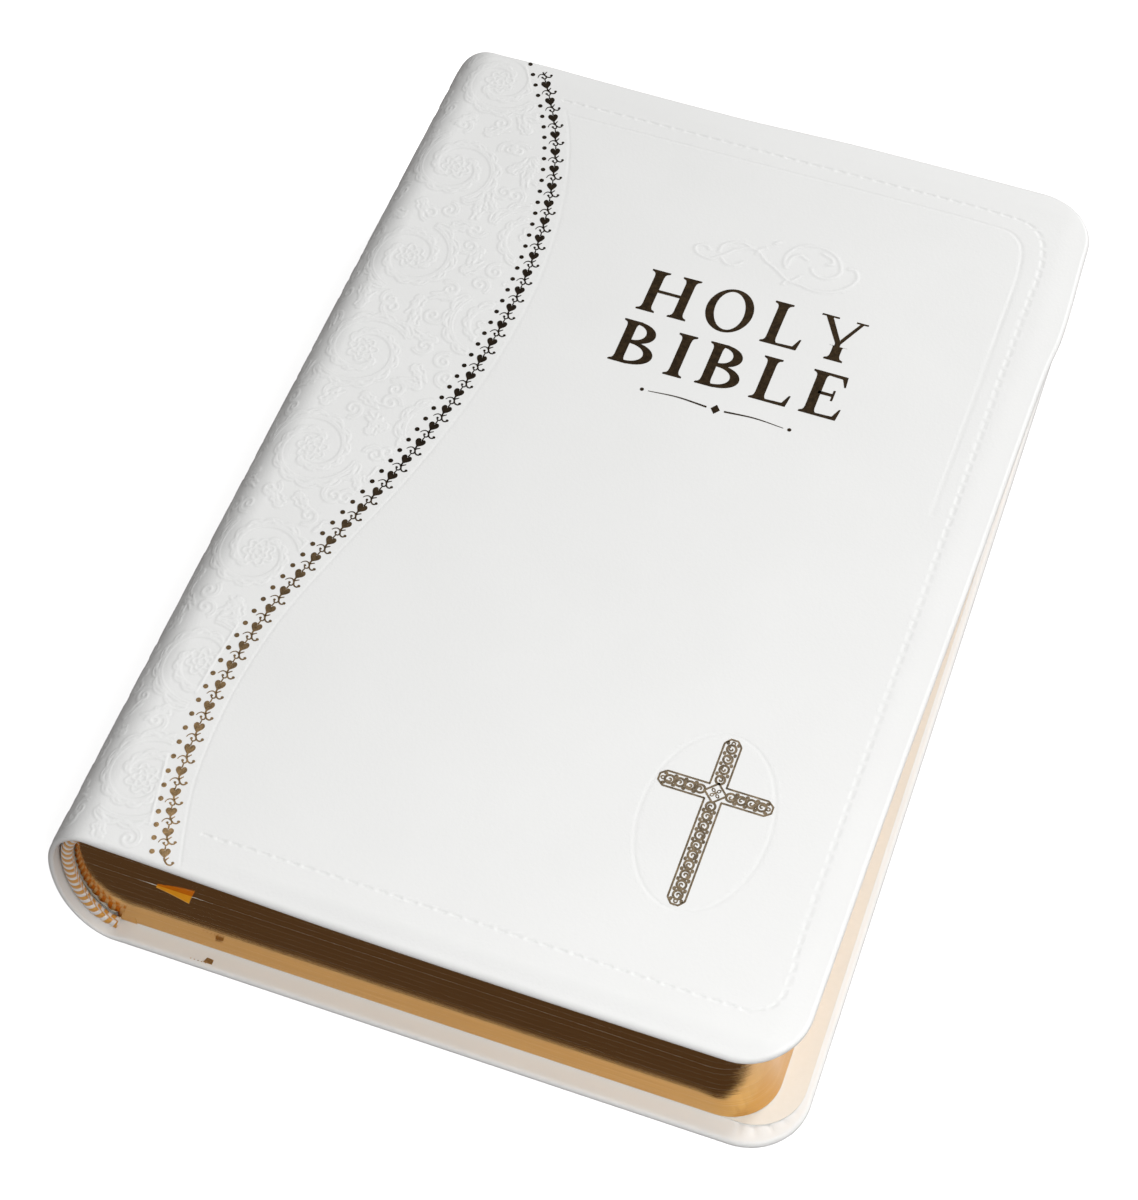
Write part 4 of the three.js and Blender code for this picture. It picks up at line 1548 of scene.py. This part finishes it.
def cross_arm(length):
    """An arm along +x from the middle: an outline with a narrowed end, filled with ringwork."""
    shoulder = length - 1.1
    side_lines = (
        ((1.5, ARM_HALF), (shoulder, ARM_HALF), (length, ARM_HALF * 0.42)),
        ((1.5, -ARM_HALF), (shoulder, -ARM_HALF), (length, -ARM_HALF * 0.42)),
        ((length, ARM_HALF * 0.5), (length, -ARM_HALF * 0.5)),
    )
    shapes = [[brush(even_spacing(np.array(line), 0.3), FRAME)] for line in side_lines]
    ringed = length - 4.9
    count = int(round(ringed / RING_PITCH)) + 1
    pitch = ringed / (count - 1)
    for i in range(count):
        middle = np.array((FIRST_RING + pitch * i, 0))
        shapes.append([round_shape(1.12, 0.95, 28) + middle, round_shape(0.66, 0.95, 24) + middle])
        hand = 1 if i % 2 else -1
        shapes.append([brush(scroll(0.58, 0.9, 0.5, hand, 0.12, 18) + middle, 0.3)])
        for side in (-1, 1):
            shapes.append([round_shape(0.42, 0.8, 12) + middle + (pitch / 2, side * 1.0)])
    end_middle = (length - 0.75, 0)
    shapes.append([round_shape(0.5, 0.9, 16) + end_middle, round_shape(0.24, 0.9, 12) + end_middle])
    return shapes


def cross_shapes():
    """Four arms, counted round from the fore edge, and a diamond over a four-petalled flower."""
    shapes = []
    for i, length in enumerate(ARM_LENGTHS):
        for outlines in cross_arm(length):
            shapes.append([turned(outline, quarter_turn * i, CROSS_MIDDLE) for outline in outlines])
    diamond = np.array(((2.35, 0), (0, 2.35), (-2.35, 0), (0, -2.35)))
    shapes.append([diamond + CROSS_MIDDLE, diamond * 0.78 + CROSS_MIDDLE])
    for i in range(4):
        angle = quarter_turn * (i + 0.5)
        petal = round_shape(0.5, 0.7, 16) + (0.72, 0)
        hole = round_shape(0.26, 0.7, 12) + (0.72, 0)
        shapes.append([turned(petal, angle, CROSS_MIDDLE), turned(hole, angle, CROSS_MIDDLE)])
    shapes.append([round_shape(0.24, 1.0, 12) + CROSS_MIDDLE])
    return [[unslipped(outline) for outline in outlines] for outlines in shapes]


foil_piece("front_foil_border", border_shapes(), "front", BORDER_FOIL)
foil_piece("back_foil_border", border_shapes(), "back", BORDER_FOIL)
foil_piece("front_foil_title", title_shapes(), "front", TITLE_FOIL)
foil_piece("front_foil_cross", cross_shapes(), "front", CROSS_FOIL)

# The end of the back border, carried over the tail edge by the turned-in skin.
SCRAP = np.array(((28.1, 1.0), (29.9, 1.0), (29.9, 2.0), (28.5, 2.1)))
CRUMBS = [[round_shape(0.16, 0.7, 8) + (25.6 + 0.75 * i, 0.95)] for i in range(5)]
foil_piece("back_foil_scrap", [[SCRAP]] + CRUMBS, "back", BORDER_FOIL, COVER_THICKNESS)

# ---------------------------------------------------------------- stage, light and camera

FLOOR_SIZE = 60.0
FLOOR_BELOW = 0.0002
FLOOR_GLOW = 0.62


def add_floor():
    """A white floor that the gilt and the leather don't see."""
    mesh = bpy.data.meshes.new("floor")
    half = FLOOR_SIZE / 2
    corners = [(-half, -half, 0), (half, -half, 0), (half, half, 0), (-half, half, 0)]
    mesh.from_pydata(corners, [], [(0, 1, 2, 3)])
    floor = bpy.data.objects.new("floor", mesh)
    floor.location.z = -FLOOR_BELOW
    floor.visible_glossy = False
    floor.visible_diffuse = False
    bpy.context.scene.collection.objects.link(floor)
    paint = Painter("white_floor")
    paint.set(Base_Color=(0.95, 0.95, 0.95, 1), Roughness=0.9, Specular_IOR_Level=0.0)
    paint.set(Emission_Color=(1, 1, 1, 1), Emission_Strength=FLOOR_GLOW)
    mesh.materials.append(paint.material)


def stand(name, data, place, back, roll=0.0):
    """A light or camera at a place, looking away from `back` and rolled about it."""
    thing = bpy.data.objects.new(name, data)
    bpy.context.scene.collection.objects.link(thing)
    level = unit(np.cross((0, 0, 1), back))
    rise = np.cross(back, level)
    right = level * math.cos(roll) + rise * math.sin(roll)
    up = rise * math.cos(roll) - level * math.sin(roll)
    matrix = Matrix.Identity(4)
    for i, axis in enumerate((right, up, back, place)):
        for row in range(3):
            matrix[row][i] = axis[row]
    thing.matrix_world = matrix
    return thing


def add_softbox(name, place, aim, size, watts):
    data = bpy.data.lights.new(name, "AREA")
    data.size = size
    data.energy = watts
    light = stand(name, data, place, unit(np.array(place) - np.array(aim)))


HORIZON = (-0.12, 0.02)
LEFT_SKY = (-1.0, -0.2)
LEFT_SHADE = 0.68
GROUND_TONE = (0.20, 0.155, 0.14)
WORLD_STRENGTH = 0.47


def add_world():
    """White all round above the horizon, a little darker to the left, and dark brown below it,
    which only the gilt sees."""
    world = bpy.data.worlds.new("studio")
    world.use_nodes = True
    tree = world.node_tree
    background = tree.nodes["Background"]
    background.inputs["Strength"].default_value = WORLD_STRENGTH
    direction = tree.nodes.new("ShaderNodeTexCoord")
    split = tree.nodes.new("ShaderNodeSeparateXYZ")
    tree.links.new(direction.outputs["Generated"], split.inputs["Vector"])

    def ramp(axis, ends, low):
        made = tree.nodes.new("ShaderNodeMapRange")
        made.inputs["From Min"].default_value = ends[0]
        made.inputs["From Max"].default_value = ends[1]
        made.inputs["To Min"].default_value = low
        tree.links.new(split.outputs[axis], made.inputs["Value"])
        return made.outputs["Result"]

    def mix(share, low_tone):
        made = tree.nodes.new("ShaderNodeMix")
        made.data_type = "RGBA"
        low, high = made.inputs[MIX_COLOURS]
        low.default_value = (*low_tone, 1)
        high.default_value = (1, 1, 1, 1)
        tree.links.new(share, made.inputs["Factor"])
        return high, made.outputs[MIX_RESULT]

    sky = mix(ramp("X", LEFT_SKY, LEFT_SHADE), (0, 0, 0))[1]
    above, colour = mix(ramp("Z", HORIZON, 0.0), GROUND_TONE)
    tree.links.new(sky, above)
    tree.links.new(colour, background.inputs["Color"])
    bpy.context.scene.world = world


# The camera's turn round the book, its height and its roll in degrees, what it looks at and
# from how far in millimetres, and its lens.
CAMERA_TURN = (19.161, 56.137, 0.431)
CAMERA_AIM = (65.3, 103.1, 0)
CAMERA_DISTANCE = 546.7
CAMERA_LENS = 79.1


def add_camera():
    azimuth, elevation, roll = (math.radians(angle) for angle in CAMERA_TURN)
    flat = math.cos(elevation)
    back = np.array((math.sin(azimuth) * flat, -math.cos(azimuth) * flat, math.sin(elevation)))
    data = bpy.data.cameras.new("photo_camera")
    data.lens = CAMERA_LENS
    data.sensor_width = 36
    place = to_frame(np.array(CAMERA_AIM) + back * CAMERA_DISTANCE)
    bpy.context.scene.camera = stand("photo_camera", data, place, back, roll)


add_floor()
add_softbox("key", (0.45, 0.9, 0.75), (0, 0, 0), 0.4, 7.7)
add_softbox("front", (0.2, -0.3, 0.36), (0.03, -0.06, 0), 0.2, 0.95)
add_softbox("right", (0.75, -0.05, 0.3), (0.05, 0, 0), 0.3, 0.55)
add_world()
add_camera()
bpy.context.scene.view_settings.view_transform = "Standard"
